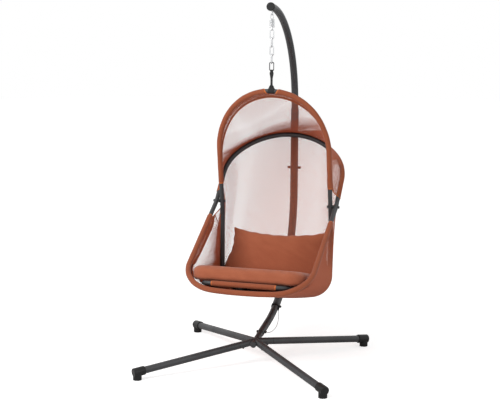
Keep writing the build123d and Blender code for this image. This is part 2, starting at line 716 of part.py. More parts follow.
def panel(first, second, first_r, second_r, first_start, second_start):
    """Thin cloth drawn tight between two hoops, each station a flat quad held clear of both tubes."""
    sections = []
    for step in range(cloth_steps + 1):
        share = 2 * step / cloth_steps - 1
        a = 0.5 + share * (0.5 - first_start / first.length)
        b = 0.5 + share * (0.5 - second_start / second.length)
        run = (second @ b - first @ a).normalized()
        normal = run.cross(first % a + second % b).normalized() * (cloth / 2)
        here = stand_clear(first, a, run, first_r + cloth_gap)
        there = stand_clear(second, b, -run, second_r + cloth_gap)
        sections.append(Wire.make_polygon([here + normal, there + normal, there - normal, here - normal]))
    return Solid.make_loft(sections, ruled=True)


hoop_outline = hoop_wire(hoop_frame, inner_half, 0, *hoop_shape)
rear_outline = hoop_wire(rear_frame, inner_half, 0, *rear_shape)
arch_outline = hoop_wire(arch_frame, outer_half, 0, *arch_shape)
front_outline = hoop_wire(front_frame, outer_half, 0, *front_shape)
rear_clear = tube_r + corner_ease
parts["canopy_mesh"] = panel(hoop_outline, arch_outline, sleeve_r, tube_r, canopy_on_hoop, canopy_on_arch)
parts["back_mesh"] = panel(arch_outline, rear_outline, tube_r, rear_clear, canopy_on_arch, back_on_rear)
parts["bucket_mesh"] = panel(front_outline, rear_outline, sleeve_r, tube_r, bucket_on_front, back_on_rear)


# Seat cushion on the rails: boxy, with a soft edge and a crown, hollow inside its cover
def cushion_section(height, inset):
    """Rounded outline of the cushion at a height above its underside."""
    front = cushion_width / 2 - inset
    rear = cushion_rear_width / 2 - inset
    back = cushion_depth - inset
    corners = [(front, inset), (rear, back), (-rear, back), (-front, inset)]
    outline = make_face(FilletPolyline(*corners, radius=cushion_corner - inset, close=True))
    return seat_plane * Pos(0, 0, tube_r + rest_gap + height) * outline


def cushion_body(skin):
    """Cushion shape drawn in all round by the thickness of a skin."""
    levels = []
    half = cushion_thickness / 2
    for degrees in (-75, -45, -15, 15, 45, 75):
        angle = math.radians(degrees)
        height = half + (half - skin) * math.sin(angle) / math.sin(math.radians(75))
        levels.append((height, skin + cushion_edge * (1 - math.cos(angle))))
    top_height, top_inset = levels[-1]
    levels.append((top_height + 0.6 * cushion_crown, top_inset + cushion_edge))
    levels.append((top_height + cushion_crown, top_inset + 2 * cushion_edge))
    return loft([cushion_section(height, inset) for height, inset in levels], ruled=True)


parts["seat_cushion"] = cushion_body(0) - cushion_body(cushion_skin)

# Lumbar pillow: knife edges, pointed corners and drawn-in sides
arch_top = pivot + arch_up * hoop_height(outer_half, *arch_shape)
back_run = (arch_top - rear_bottom).normalized()
pillow_face = across.cross(back_run)
pillow_at = rear_bottom + back_run * pillow_up + pillow_face * (pillow_thickness / 2 + pillow_stand)
pillow_plane = Plane(origin=pillow_at, x_dir=across, z_dir=pillow_face)


def pillow_section(depth, inset, bow):
    """Four-cornered outline whose sides bow inwards."""
    x = pillow_width / 2 - inset
    y = pillow_height / 2 - inset
    top = ThreePointArc((x, y), (0, y - bow), (-x, y))
    left = ThreePointArc((-x, y), (-x + bow, 0), (-x, -y))
    base = ThreePointArc((-x, -y), (0, -y + bow), (x, -y))
    right = ThreePointArc((x, -y), (x - bow, 0), (x, y))
    outline = Wire([edge.edge() for edge in (top, left, base, right)])
    return Wire([(pillow_plane * Pos(0, 0, depth) * edge) for edge in outline.edges()])


def pillow_body(skin):
    """Pillow shape drawn in all round by the thickness of a skin."""
    sections = []
    for share, inset in ((-1.0, 100), (-0.85, 62), (-0.5, 24), (0.0, 0), (0.5, 24), (0.85, 62), (1.0, 100)):
        bow = pillow_draw_in * (1 - abs(share)) + 1
        sections.append(pillow_section(share * (pillow_thickness / 2 - skin), inset + 2 * skin, bow))
    return Solid.make_loft(sections, ruled=True)


parts["lumbar_pillow"] = pillow_body(0) - pillow_body(cushion_skin)

parts["base_hub"] = base_hub
parts["mast_lower"] = mast_lower
parts["mast_middle"] = mast_middle
parts["mast_upper"] = mast_upper
parts["hanging_hoop"] = hanging_hoop
parts["rear_lower_frame"] = rear_lower
parts["back_arch"] = back_arch
parts["front_loop"] = front_loop
parts["leg_screws"] = Compound(screws)
parts["snap_buttons"] = Compound(buttons)
parts["pivot_bolts"] = Compound(bolts)
parts["pivot_nuts"] = Compound(nuts)
parts["pivot_spacers"] = Compound(spacers)
parts["rail_saddles"] = Compound(saddles)
parts["rail_plugs"] = Compound(plugs)

# Origin on the floor, midway between the front feet and the back of the mast
outline = Compound([*parts["foot_front_left"].solids(), *parts["mast_middle"].solids()]).bounding_box()
centred = Pos(0, -(outline.min.Y + outline.max.Y) / 2, 0)

os.makedirs("parts", exist_ok=True)
for name, part in parts.items():
    export_step(centred * part, f"parts/{name}.step")
print("shift", centred.position.Y, "pivot", tuple(pivot), "hoop top", hoop_top_z)
print("rear bottom", tuple(rear_bottom), "upper loop", upper_loop_z, "lower loop", lower_loop_z)
print("carabiner", carabiner_top, carabiner_bottom, "gate pin", pin_at.Z, "coil", coil_bottom, coil_top)
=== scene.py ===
import bpy
import bmesh
import math
from mathutils import Euler, Matrix, Vector
from mathutils.kdtree import KDTree
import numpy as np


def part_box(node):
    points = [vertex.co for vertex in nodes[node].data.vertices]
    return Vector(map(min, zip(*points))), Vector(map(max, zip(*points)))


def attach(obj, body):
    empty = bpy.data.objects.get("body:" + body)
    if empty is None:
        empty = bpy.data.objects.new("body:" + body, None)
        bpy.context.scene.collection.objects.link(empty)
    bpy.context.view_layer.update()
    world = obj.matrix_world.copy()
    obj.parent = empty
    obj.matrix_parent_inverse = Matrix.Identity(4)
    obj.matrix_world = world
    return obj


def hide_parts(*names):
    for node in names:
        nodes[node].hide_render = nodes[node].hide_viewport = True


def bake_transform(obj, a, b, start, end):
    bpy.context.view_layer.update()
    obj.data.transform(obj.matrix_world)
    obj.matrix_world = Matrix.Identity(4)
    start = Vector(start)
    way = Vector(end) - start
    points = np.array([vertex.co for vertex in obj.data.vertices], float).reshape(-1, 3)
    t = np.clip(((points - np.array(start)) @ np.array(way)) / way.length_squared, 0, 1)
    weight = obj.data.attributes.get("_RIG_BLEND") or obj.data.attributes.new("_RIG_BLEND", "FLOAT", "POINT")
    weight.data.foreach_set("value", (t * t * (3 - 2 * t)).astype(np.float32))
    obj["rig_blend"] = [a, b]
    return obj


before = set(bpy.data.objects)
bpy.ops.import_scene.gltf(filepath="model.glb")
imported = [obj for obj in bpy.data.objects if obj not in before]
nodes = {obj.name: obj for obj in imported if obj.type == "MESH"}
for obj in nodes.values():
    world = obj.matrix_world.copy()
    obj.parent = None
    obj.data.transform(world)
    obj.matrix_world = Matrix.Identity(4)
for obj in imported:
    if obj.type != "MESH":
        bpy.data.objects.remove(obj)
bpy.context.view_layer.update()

# Hanging chair, metres, +Z up, -Y is the front. Places repeat those of the part's source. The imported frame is
# centred, which moves the source's own y values by shift_y.

# Shared places
shift_y = -0.144353
tube_r = 0.0125
sleeve_r = 0.0153
inner_half = 0.316
outer_half = 0.348
rear_bend_drop = 0.072
across = Vector((1, 0, 0))
pivot = Vector((0, 0.246685, 0.813134))

# Angles of the hoops about the pivot, in degrees: 0 is straight back and 90 straight up
hoop_angle = 99.75
arch_angle = 46.0
rear_angle = -86.0
front_angle = -151.4


def direction_at(angle):
    """Direction in the chair's side plane at an angle about the pivot."""
    turn = math.radians(angle)
    return Vector((0, math.cos(turn), math.sin(turn)))


hoop_rise = direction_at(hoop_angle)
arch_rise = direction_at(arch_angle)
front_fall = direction_at(front_angle)
rear_fall = Vector((0, 0, -1))
rear_bend = pivot - hoop_rise * rear_bend_drop
rear_bottom = Vector((0, 0.258878, 0.282026))
arch_top = Vector((0, 0.58457, 1.1630))
seat_bar = Vector((0, -0.379353, 0.483))
seat_rear = Vector((0, 0.4002 + shift_y, 0.3258))
seat_run = (seat_rear - seat_bar).normalized()
seat_up = across.cross(seat_run)


def hoop(origin, rise, half, leg, shoulder, turn):
    """One tube hoop of the chair: two straight legs, two shoulder arcs and a crown arc."""
    turn = math.radians(turn)
    crown = (half - shoulder) / math.cos(turn) + shoulder
    return {"origin": origin, "rise": rise, "half": half, "leg": leg, "shoulder": shoulder, "turn": turn,
            "crown": crown, "length": 2 * leg + 2 * shoulder * turn + crown * (math.pi - 2 * turn)}


def hoop_at(h, way):
    """Point, run, outward and sideways directions at a distance from the right leg's foot."""
    if way > h["length"] / 2:
        point, run, out, flank = hoop_at(h, h["length"] - way)
        return (Vector((-point.x, point.y, point.z)), Vector((run.x, -run.y, -run.z)),
                Vector((-out.x, out.y, out.z)), flank)
    flank = across.cross(h["rise"])
    bend = h["shoulder"] * h["turn"]
    if way <= h["leg"]:
        x, v, angle = h["half"], way, 0.0
    elif way <= h["leg"] + bend:
        angle = (way - h["leg"]) / h["shoulder"]
        x = h["half"] - h["shoulder"] + h["shoulder"] * math.cos(angle)
        v = h["leg"] + h["shoulder"] * math.sin(angle)
    else:
        angle = h["turn"] + (way - h["leg"] - bend) / h["crown"]
        x = h["crown"] * math.cos(angle)
        v = h["leg"] + (h["shoulder"] - h["crown"]) * math.sin(h["turn"]) + h["crown"] * math.sin(angle)
    point = h["origin"] + across * x + h["rise"] * v
    run = across * -math.sin(angle) + h["rise"] * math.cos(angle)
    out = across * math.cos(angle) + h["rise"] * math.sin(angle)
    return point, run, out, flank


hanging_hoop = hoop(pivot, hoop_rise, inner_half, leg=0.309, shoulder=0.385, turn=31.9)
rear_hoop = hoop(rear_bend, rear_fall, inner_half, leg=0.323, shoulder=0.120, turn=80.0)
arch_hoop = hoop(pivot, arch_rise, outer_half, leg=0.189, shoulder=0.250, turn=38.4)
front_hoop = hoop(pivot, front_fall, outer_half, leg=0.547, shoulder=0.205, turn=85.0)


# Camera
def photo_camera():
    """Camera at the photograph's angle: degrees above the floor, round to the right and rolled."""
    above, aside, roll = 10.02, 16.32, 0.38
    data = bpy.data.cameras.new("photo_camera")
    data.lens = 102.02
    data.sensor_width = 36
    camera = bpy.data.objects.new("photo_camera", data)
    camera.location = (2.069, -7.335, 2.222)
    aim = Euler((math.radians(90 - above), 0, math.radians(aside)), "XYZ").to_matrix()
    camera.rotation_euler = (aim @ Matrix.Rotation(math.radians(roll), 3, "Z")).to_euler()
    bpy.context.scene.collection.objects.link(camera)
    bpy.context.scene.camera = camera


photo_camera()


# Helpers for shader nodes
def new_group(name, inputs, outputs):
    """Empty shader node group with named sockets."""
    group = bpy.data.node_groups.new(name, "ShaderNodeTree")
    for label, kind, value in inputs:
        socket = group.interface.new_socket(name=label, in_out="INPUT", socket_type=kind)
        if value is not None:
            socket.default_value = value
    for label, kind in outputs:
        group.interface.new_socket(name=label, in_out="OUTPUT", socket_type=kind)
    return group, group.nodes.new("NodeGroupInput"), group.nodes.new("NodeGroupOutput")


def sums(tree, kind, first, second=None, third=None):
    """Math node fed by sockets or numbers; gives its result socket."""
    node = tree.nodes.new("ShaderNodeMath")
    node.operation = kind
    for place, value in enumerate((first, second, third)):
        if value is None:
            continue
        if isinstance(value, (int, float)):
            node.inputs[place].default_value = value
        else:
            tree.links.new(value, node.inputs[place])
    return node.outputs[0]


def blend_colour(tree, factor, first, second):
    """Colour mix fed by sockets or colours; gives its result socket."""
    node = tree.nodes.new("ShaderNodeMix")
    node.data_type = "RGBA"
    for place, value in ((0, factor), (6, first), (7, second)):
        if isinstance(value, (int, float, tuple)):
            node.inputs[place].default_value = value
        else:
            tree.links.new(value, node.inputs[place])
    return node.outputs[2]


def split(tree, where):
    """Sockets with the three numbers of a vector."""
    node = tree.nodes.new("ShaderNodeSeparateXYZ")
    tree.links.new(where, node.inputs[0])
    return node.outputs


def between(tree, value, low, high):
    """Mask that is 1 where a value lies between two numbers."""
    above = sums(tree, "GREATER_THAN", value, low)
    return sums(tree, "MULTIPLY", above, sums(tree, "LESS_THAN", value, high))


def any_of(tree, *masks):
    """Mask that is 1 where any of several masks is."""
    whole = masks[0]
    for mask in masks[1:]:
        whole = sums(tree, "MAXIMUM", whole, mask)
    return whole


def speckle(tree, where, scale, detail=3.0):
    """Noise value at a scale."""
    node = tree.nodes.new("ShaderNodeTexNoise")
    node.inputs["Scale"].default_value = scale
    node.inputs["Detail"].default_value = detail
    tree.links.new(where, node.inputs["Vector"])
    return node.outputs[0]


def spread(tree, value, low, high, out_low, out_high):
    """Value moved from one range to another and held inside it."""
    node = tree.nodes.new("ShaderNodeMapRange")
    tree.links.new(value, node.inputs[0])
    for place, number in enumerate((low, high, out_low, out_high), 1):
        node.inputs[place].default_value = number
    return node.outputs[0]


def finish_of(name, roughness):
    """New material; gives it, its tree, its shader and its coordinates."""
    material = bpy.data.materials.new(name)
    material.use_nodes = True
    tree = material.node_tree
    shader = tree.nodes["Principled BSDF"]
    shader.inputs["Roughness"].default_value = roughness
    return material, tree, shader, tree.nodes.new("ShaderNodeTexCoord")


def raise_by(tree, shader, height, strength, distance):
    """Bump from a height value."""
    bump = tree.nodes.new("ShaderNodeBump")
    bump.inputs["Strength"].default_value = strength
    bump.inputs["Distance"].default_value = distance
    tree.links.new(height, bump.inputs["Height"])
    tree.links.new(bump.outputs[0], shader.inputs["Normal"])


def use_group(tree, group, where, **values):
    """Place a node group in a material and set its values."""
    node = tree.nodes.new("ShaderNodeGroup")
    node.node_tree = group
    tree.links.new(where, node.inputs["Vector"])
    for label, value in values.items():
        node.inputs[label].default_value = value
    return node


# Effects that several finishes share
def plain_weave_group():
    """Over-and-under cloth weave with slubs: a height and a tint."""
    group, given, made = new_group(
        "plain_weave",
        [("Vector", "NodeSocketVector", None), ("Threads", "NodeSocketFloat", 900.0)],
        [("Height", "NodeSocketFloat"), ("Tint", "NodeSocketFloat")])
    parts = split(group, given.outputs["Vector"])
    turns = sums(group, "MULTIPLY", given.outputs["Threads"], math.pi)
    weft = sums(group, "SINE", sums(group, "MULTIPLY", parts[0], turns))
    warp = sums(group, "SINE", sums(group, "MULTIPLY", parts[1], turns))
    over = sums(group, "MULTIPLY", weft, warp)
    height = sums(group, "MULTIPLY_ADD", over, 0.5, 0.5)
    slub = speckle(group, given.outputs["Vector"], 240.0, 2.0)
    cloudy = speckle(group, given.outputs["Vector"], 14.0, 2.0)
    tint = sums(group, "MULTIPLY_ADD", height, 0.35, sums(group, "MULTIPLY", slub, 0.35))
    tint = sums(group, "MULTIPLY_ADD", cloudy, 0.3, tint)
    group.links.new(height, made.inputs["Height"])
    group.links.new(tint, made.inputs["Tint"])
    return group


def open_weave_group():
    """Net of crossing threads with open holes: a mask and a tint."""
    group, given, made = new_group(
        "open_weave",
        [("Vector", "NodeSocketVector", None), ("Cell", "NodeSocketFloat", 0.0024),
         ("Thread", "NodeSocketFloat", 0.23)],
        [("Mask", "NodeSocketFloat"), ("Tint", "NodeSocketFloat")])
    parts = split(group, given.outputs["Vector"])
    lines = []
    for axis in (0, 1):
        place = sums(group, "FRACT", sums(group, "DIVIDE", parts[axis], given.outputs["Cell"]))
        lines.append(sums(group, "LESS_THAN", place, given.outputs["Thread"]))
    mask = sums(group, "MAXIMUM", *lines)
    group.links.new(mask, made.inputs["Mask"])
    group.links.new(speckle(group, given.outputs["Vector"], 90.0, 2.0), made.inputs["Tint"])
    return group


def rubbed_group():
    """Soft wear and a fine grain on painted, moulded or plated pieces: a mask and the grain's height."""
    group, given, made = new_group(
        "rubbed", [("Vector", "NodeSocketVector", None), ("Size", "NodeSocketFloat", 9.0)],
        [("Mask", "NodeSocketFloat"), ("Grain", "NodeSocketFloat")])
    wide = group.nodes.new("ShaderNodeTexNoise")
    wide.inputs["Detail"].default_value = 5.0
    group.links.new(given.outputs["Vector"], wide.inputs["Vector"])
    group.links.new(given.outputs["Size"], wide.inputs["Scale"])
    group.links.new(spread(group, wide.outputs[0], 0.35, 0.75, 0.0, 1.0), made.inputs["Mask"])
    group.links.new(speckle(group, given.outputs["Vector"], 1100.0, 2.0), made.inputs["Grain"])
    return group


def stitch_group():
    """Dashes of thread along a seam, from the way along it and the distance from it: a mask."""
    group, given, made = new_group(
        "stitches", [("Vector", "NodeSocketVector", None), ("Away", "NodeSocketFloat", 0.0),
                     ("Pitch", "NodeSocketFloat", 0.007), ("Width", "NodeSocketFloat", 0.0009)],
        [("Mask", "NodeSocketFloat")])
    parts = split(group, given.outputs["Vector"])
    dash = sums(group, "FRACT", sums(group, "DIVIDE", parts[0], given.outputs["Pitch"]))
    near = sums(group, "LESS_THAN", sums(group, "ABSOLUTE", given.outputs["Away"]), given.outputs["Width"])
    group.links.new(sums(group, "MULTIPLY", sums(group, "LESS_THAN", dash, 0.7), near), made.inputs["Mask"])
    return group


plain_weave = plain_weave_group()
open_weave = open_weave_group()
rubbed = rubbed_group()
stitches = stitch_group()


# Finishes
coat_grey = (0.040, 0.041, 0.044, 1)
coat_rubbed = (0.058, 0.059, 0.062, 1)
frame_grey = (0.036, 0.037, 0.039, 1)
frame_rubbed = (0.052, 0.053, 0.056, 1)
hook_black = (0.008, 0.008, 0.009, 1)
hook_rubbed = (0.020, 0.020, 0.021, 1)
joint_dark = (0.003, 0.003, 0.003, 1)
plastic_black = (0.007, 0.007, 0.007, 1)
plastic_rubbed = (0.014, 0.014, 0.014, 1)
cable_grey = (0.050, 0.052, 0.053, 1)
cable_rubbed = (0.085, 0.088, 0.090, 1)
zinc_bright = (0.82, 0.83, 0.84, 1)
zinc_dull = (0.60, 0.61, 0.62, 1)
rust_low = (0.27, 0.058, 0.020, 1)
rust_high = (0.45, 0.115, 0.040, 1)
mesh_low = (0.40, 0.092, 0.034, 1)
mesh_high = (0.57, 0.135, 0.054, 1)
terracotta_low = (0.36, 0.088, 0.036, 1)
terracotta_high = (0.56, 0.165, 0.075, 1)
binding_low = (0.50, 0.12, 0.025, 1)
binding_high = (0.70, 0.19, 0.045, 1)
webbing_low = (0.003, 0.003, 0.003, 1)
webbing_high = (0.020, 0.020, 0.021, 1)
hem_orange = (0.66, 0.16, 0.030, 1)
thread_orange = (0.60, 0.20, 0.08, 1)
piping_orange = (0.52, 0.125, 0.032, 1)
# Painted shade: dark brown for the net's solid strip by the sleeves, standing in for shadow
painted_shade_colour = (0.05, 0.018, 0.012, 1)

# Widths of what the finishes draw, and the leg joints' distance from the hub's middle
leg_joint_at = 0.105
joint_half_width = 0.0014
sleeve_hem = 0.0065
sleeve_stitch_off = 0.006
net_cell = 0.0026
net_hem = 0.005
net_stitch_inset = 0.003
tape_half_width = 0.0036
piping_width = 0.004
painted_shade_reach = 0.028


def painted_metal(name, colour, worn, roughness, joint_at=None):
    """Fine-textured powder coat with faint rubbed patches, and a dark line where a leg meets its stub."""
    material, tree, shader, coords = finish_of(name, roughness)
    wear = use_group(tree, rubbed, coords.outputs["Object"], Size=7.0)
    paint = blend_colour(tree, wear.outputs["Mask"], colour, worn)
    if joint_at:
        parts = split(tree, coords.outputs["Object"])
        side = sums(tree, "POWER", parts[0], 2.0)
        ahead = sums(tree, "POWER", sums(tree, "SUBTRACT", parts[1], shift_y), 2.0)
        reach = sums(tree, "SQRT", sums(tree, "ADD", side, ahead))
        off_joint = sums(tree, "ABSOLUTE", sums(tree, "SUBTRACT", reach, joint_at))
        line = sums(tree, "LESS_THAN", off_joint, joint_half_width)
        paint = blend_colour(tree, line, paint, joint_dark)
    tree.links.new(paint, shader.inputs["Base Color"])
    tree.links.new(spread(tree, wear.outputs["Mask"], 0.0, 1.0, roughness + 0.06, roughness - 0.05),
                   shader.inputs["Roughness"])
    raise_by(tree, shader, wear.outputs["Grain"], strength=0.25, distance=0.0004)
    return material


def moulded_plastic(name, colour, worn):
    """Moulded plastic with a fine grain and a low sheen."""
    material, tree, shader, coords = finish_of(name, 0.40)
    shader.inputs["Specular IOR Level"].default_value = 0.3
    wear = use_group(tree, rubbed, coords.outputs["Object"], Size=22.0)
    tree.links.new(blend_colour(tree, wear.outputs["Mask"], colour, worn), shader.inputs["Base Color"])
    raise_by(tree, shader, wear.outputs["Grain"], strength=0.4, distance=0.0003)
    return material


def bare_metal(name, colour, dull, roughness):
    """Plated steel, a little dull in places."""
    material, tree, shader, coords = finish_of(name, roughness)
    shader.inputs["Metallic"].default_value = 1.0
    wear = use_group(tree, rubbed, coords.outputs["Object"], Size=60.0)
    tree.links.new(blend_colour(tree, wear.outputs["Mask"], colour, dull), shader.inputs["Base Color"])
    tree.links.new(spread(tree, wear.outputs["Mask"], 0.0, 1.0, roughness - 0.06, roughness + 0.12),
                   shader.inputs["Roughness"])
    raise_by(tree, shader, wear.outputs["Grain"], strength=0.12, distance=0.0002)
    return material


def attribute(tree, name):
    """A piece's own measured value, such as the distance from an edge."""
    node = tree.nodes.new("ShaderNodeAttribute")
    node.attribute_name = name
    return node.outputs["Fac"]


def woven_colour(tree, weave, low, high):
    """Colour of a plain weave, from its darker to its lighter threads."""
    shade = spread(tree, weave.outputs["Tint"], 0.25, 0.8, 0.0, 1.0)
    return blend_colour(tree, shade, low, high)


def sleeve_cloth():
    """Rust canvas of the sleeves, with bright bound ends and a stitched seam."""
    material, tree, shader, coords = finish_of("sleeve_canvas", 0.82)
    weave = use_group(tree, plain_weave, coords.outputs["UV"], Threads=1100.0)
    colour = woven_colour(tree, weave, rust_low, rust_high)
    seam = use_group(tree, stitches, coords.outputs["UV"], Pitch=0.006, Width=0.0009)
    off_stitches = sums(tree, "SUBTRACT", attribute(tree, "from_seam"), sleeve_stitch_off)
    tree.links.new(off_stitches, seam.inputs["Away"])
    colour = blend_colour(tree, seam.outputs["Mask"], colour, thread_orange)
    bound = sums(tree, "LESS_THAN", attribute(tree, "from_end"), sleeve_hem)
    tree.links.new(blend_colour(tree, bound, colour, hem_orange), shader.inputs["Base Color"])
    shader.inputs["Sheen Weight"].default_value = 0.15
    raise_by(tree, shader, weave.outputs["Height"], strength=0.5, distance=0.0004)
    return material


def net_threads(tree, coords, thread):
    """Share of a cell that a net's threads fill: more at a slant or where the panel says, and patchy."""
    slant = tree.nodes.new("ShaderNodeLayerWeight")
    slant.inputs["Blend"].default_value = 0.5
    shut = spread(tree, slant.outputs["Facing"], 0.62, 0.86, 0.0, 0.6)
    patchy = spread(tree, speckle(tree, coords.outputs["UV"], 130.0, 3.0), 0.3, 0.7, 0.55, 1.45)
    closer = attribute(tree, "closer")
    slack = sums(tree, "MULTIPLY_ADD", sums(tree, "MINIMUM", closer, 0.0), 4.0, 1.0)
    closed = sums(tree, "MULTIPLY_ADD", shut, slack, sums(tree, "MAXIMUM", closer, -0.05))
    return sums(tree, "ADD", sums(tree, "MULTIPLY", closed, patchy), thread)


def mesh_cloth(name, thread, seam_from, seam_to, painted_shade_width, join_width):
    """Open rust mesh, solid along its seam, tape and join and in a dark strip of painted shade by the sleeve,
    with a piping and bound ends.
    """
    material, tree, shader, coords = finish_of(name, 0.8)
    weave = use_group(tree, open_weave, coords.outputs["UV"], Cell=net_cell)
    tree.links.new(net_threads(tree, coords, thread), weave.inputs["Thread"])
    first = attribute(tree, "from_first")
    second = attribute(tree, "from_second")
    seam = between(tree, first, seam_from, seam_to)
    piping = between(tree, first, seam_to - piping_width, seam_to)
    join = sums(tree, "LESS_THAN", second, join_width)
    hem = sums(tree, "LESS_THAN", attribute(tree, "from_end"), net_hem)
    tape = sums(tree, "LESS_THAN", sums(tree, "ABSOLUTE", attribute(tree, "from_tape")), tape_half_width)
    # Painted shade: a solid dark strip by the sleeve, where the gap at the seat lies in shadow
    painted_shade = sums(tree, "MULTIPLY", sums(tree, "LESS_THAN", attribute(tree, "from_painted_shade"), painted_shade_width),
                sums(tree, "GREATER_THAN", first, painted_shade_width - painted_shade_reach))
    solid = any_of(tree, seam, tape, join, painted_shade)
    canvas = use_group(tree, plain_weave, coords.outputs["UV"], Threads=1100.0)
    cloth = woven_colour(tree, canvas, rust_low, rust_high)
    colour = blend_colour(tree, weave.outputs["Tint"], mesh_low, mesh_high)
    for mask, shade in ((solid, cloth), (piping, piping_orange), (painted_shade, painted_shade_colour), (hem, hem_orange)):
        colour = blend_colour(tree, mask, colour, shade)
    sewn = use_group(tree, stitches, coords.outputs["UV"], Pitch=0.006, Width=0.0008)
    tree.links.new(sums(tree, "SUBTRACT", second, join_width - net_stitch_inset), sewn.inputs["Away"])
    colour = blend_colour(tree, sewn.outputs["Mask"], colour, thread_orange)
    tree.links.new(colour, shader.inputs["Base Color"])
    tree.links.new(any_of(tree, solid, hem, weave.outputs["Mask"]), shader.inputs["Alpha"])
    return material


def binding_tape():
    """Finely woven orange tape on the piece's own map."""
    material, tree, shader, coords = finish_of("binding_tape", 0.8)
    weave = use_group(tree, plain_weave, coords.outputs["UV"], Threads=1300.0)
    tree.links.new(woven_colour(tree, weave, binding_low, binding_high), shader.inputs["Base Color"])
    raise_by(tree, shader, weave.outputs["Height"], strength=0.5, distance=0.0003)
    return material


def cushion_cloth():
    """Terracotta upholstery weave, mottled, on coordinates that suit every side."""
    material, tree, shader, coords = finish_of("cushion_weave", 0.88)
    parts = split(tree, coords.outputs["Object"])
    join = tree.nodes.new("ShaderNodeCombineXYZ")
    for axis in (0, 1):
        tree.links.new(sums(tree, "ADD", parts[axis], parts[2]), join.inputs[axis])
    weave = use_group(tree, plain_weave, join.outputs[0], Threads=700.0)
    tree.links.new(woven_colour(tree, weave, terracotta_low, terracotta_high), shader.inputs["Base Color"])
    shader.inputs["Sheen Weight"].default_value = 0.2
    raise_by(tree, shader, weave.outputs["Height"], strength=0.5, distance=0.0005)
    return material


def webbing_cloth():
    """Black woven webbing of the strap."""
    material, tree, shader, coords = finish_of("black_webbing", 0.75)
    weave = use_group(tree, plain_weave, coords.outputs["UV"], Threads=1400.0)
    tree.links.new(blend_colour(tree, weave.outputs["Tint"], webbing_low, webbing_high),
                   shader.inputs["Base Color"])
    raise_by(tree, shader, weave.outputs["Height"], strength=0.8, distance=0.0005)
    return material


stand_coat = painted_metal("stand_powder_coat", coat_grey, coat_rubbed, roughness=0.42)
chair_coat = painted_metal("chair_powder_coat", frame_grey, frame_rubbed, roughness=0.44)
leg_coat = painted_metal("leg_powder_coat", coat_grey, coat_rubbed, roughness=0.42, joint_at=leg_joint_at)
hook_coat = painted_metal("black_hook_coat", hook_black, hook_rubbed, roughness=0.35)
black_plastic = moulded_plastic("moulded_black_plastic", plastic_black, plastic_rubbed)
zinc = bare_metal("zinc_plate", zinc_bright, zinc_dull, roughness=0.26)
sleeve_canvas = sleeve_cloth()
canopy_net = mesh_cloth("canopy_mesh_cloth", thread=0.125, seam_from=0.030, seam_to=0.046, painted_shade_width=0.0010,
                        join_width=0.030)
back_net = mesh_cloth("back_mesh_cloth", thread=0.150, seam_from=0.0, seam_to=0.018, painted_shade_width=0.0001,
                      join_width=0.010)
bucket_net = mesh_cloth("bucket_mesh_cloth", thread=0.155, seam_from=0.036, seam_to=0.062, painted_shade_width=0.032,
                        join_width=0.006)
binding_cloth = binding_tape()
cushion_weave = cushion_cloth()
webbing = webbing_cloth()
cable_skin = moulded_plastic("cable_skin", cable_grey, cable_rubbed)


# Modelling helpers
seam_merge = 0.00002


def pick(piece):
    """Select one piece alone and make it the active one."""
    bpy.ops.object.select_all(action="DESELECT")
    piece.select_set(True)
    bpy.context.view_layer.objects.active = piece


def ease(low, high, value):
    """Smooth step from 0 at low to 1 at high."""
    share = min(1.0, max(0.0, (value - low) / (high - low)))
    return share * share * (3 - 2 * share)


def ways_along(points):
    """Distance along a line of points, at each of them."""
    ways = [0.0]
    for before, after in zip(points, points[1:]):
        ways.append(ways[-1] + (after - before).length)
    return ways


def start_grid(name, along, over, material):
    """Flat grid to be laid on a shape, with everything else deselected."""
    bpy.ops.object.select_all(action="DESELECT")
    bpy.ops.mesh.primitive_grid_add(x_subdivisions=along, y_subdivisions=over, size=1)
    piece = bpy.context.object
    piece.name = name
    piece.data.name = name
    piece.data.materials.append(material)
    return piece


def lay_grid(piece, along, over, place, measures):
    """Move the grid's points to place(i, j), set its map in metres and keep named measures on it."""
    mesh = piece.data
    for label in measures:
        mesh.attributes.new(label, "FLOAT", "POINT")
    kept = {label: mesh.attributes[label].data for label in measures}
    plan = {}
    for vertex in mesh.vertices:
        i = round((vertex.co.x + 0.5) * along)
        j = round((vertex.co.y + 0.5) * over)
        spot, flat, values = place(i, j)
        vertex.co = spot
        plan[vertex.index] = flat
        for label, value in zip(measures, values):
            kept[label][vertex.index].value = value
    layer = mesh.uv_layers.active.data
    for loop in mesh.loops:
        layer[loop.index].uv = plan[loop.vertex_index]
    mesh.update()


def close_and_smooth(piece, rolled=False):
    """Merge a rolled piece's seam, turn faces outwards and shade smooth."""
    pick(piece)
    bpy.ops.object.mode_set(mode="EDIT")
    bpy.ops.mesh.select_all(action="SELECT")
    if rolled:
        bpy.ops.mesh.remove_doubles(threshold=seam_merge)
    bpy.ops.mesh.normals_make_consistent(inside=False)
    bpy.ops.object.mode_set(mode="OBJECT")
    bpy.ops.object.shade_smooth()


def thicken(piece, thickness):
    """Give a sheet its thickness, half of it to each side."""
    pick(piece)
    wall = piece.modifiers.new("thickness", "SOLIDIFY")
    wall.thickness = thickness
    wall.offset = 0.0
    bpy.ops.object.modifier_apply(modifier=wall.name)


# Carried-over pieces
def coat_nodes(material, names):
    """Give carried-over pieces a finish."""
    for name in names:
        mesh = nodes[name].data
        if not mesh.materials:
            mesh.materials.append(material)
        for place in range(len(mesh.materials)):
            mesh.materials[place] = material


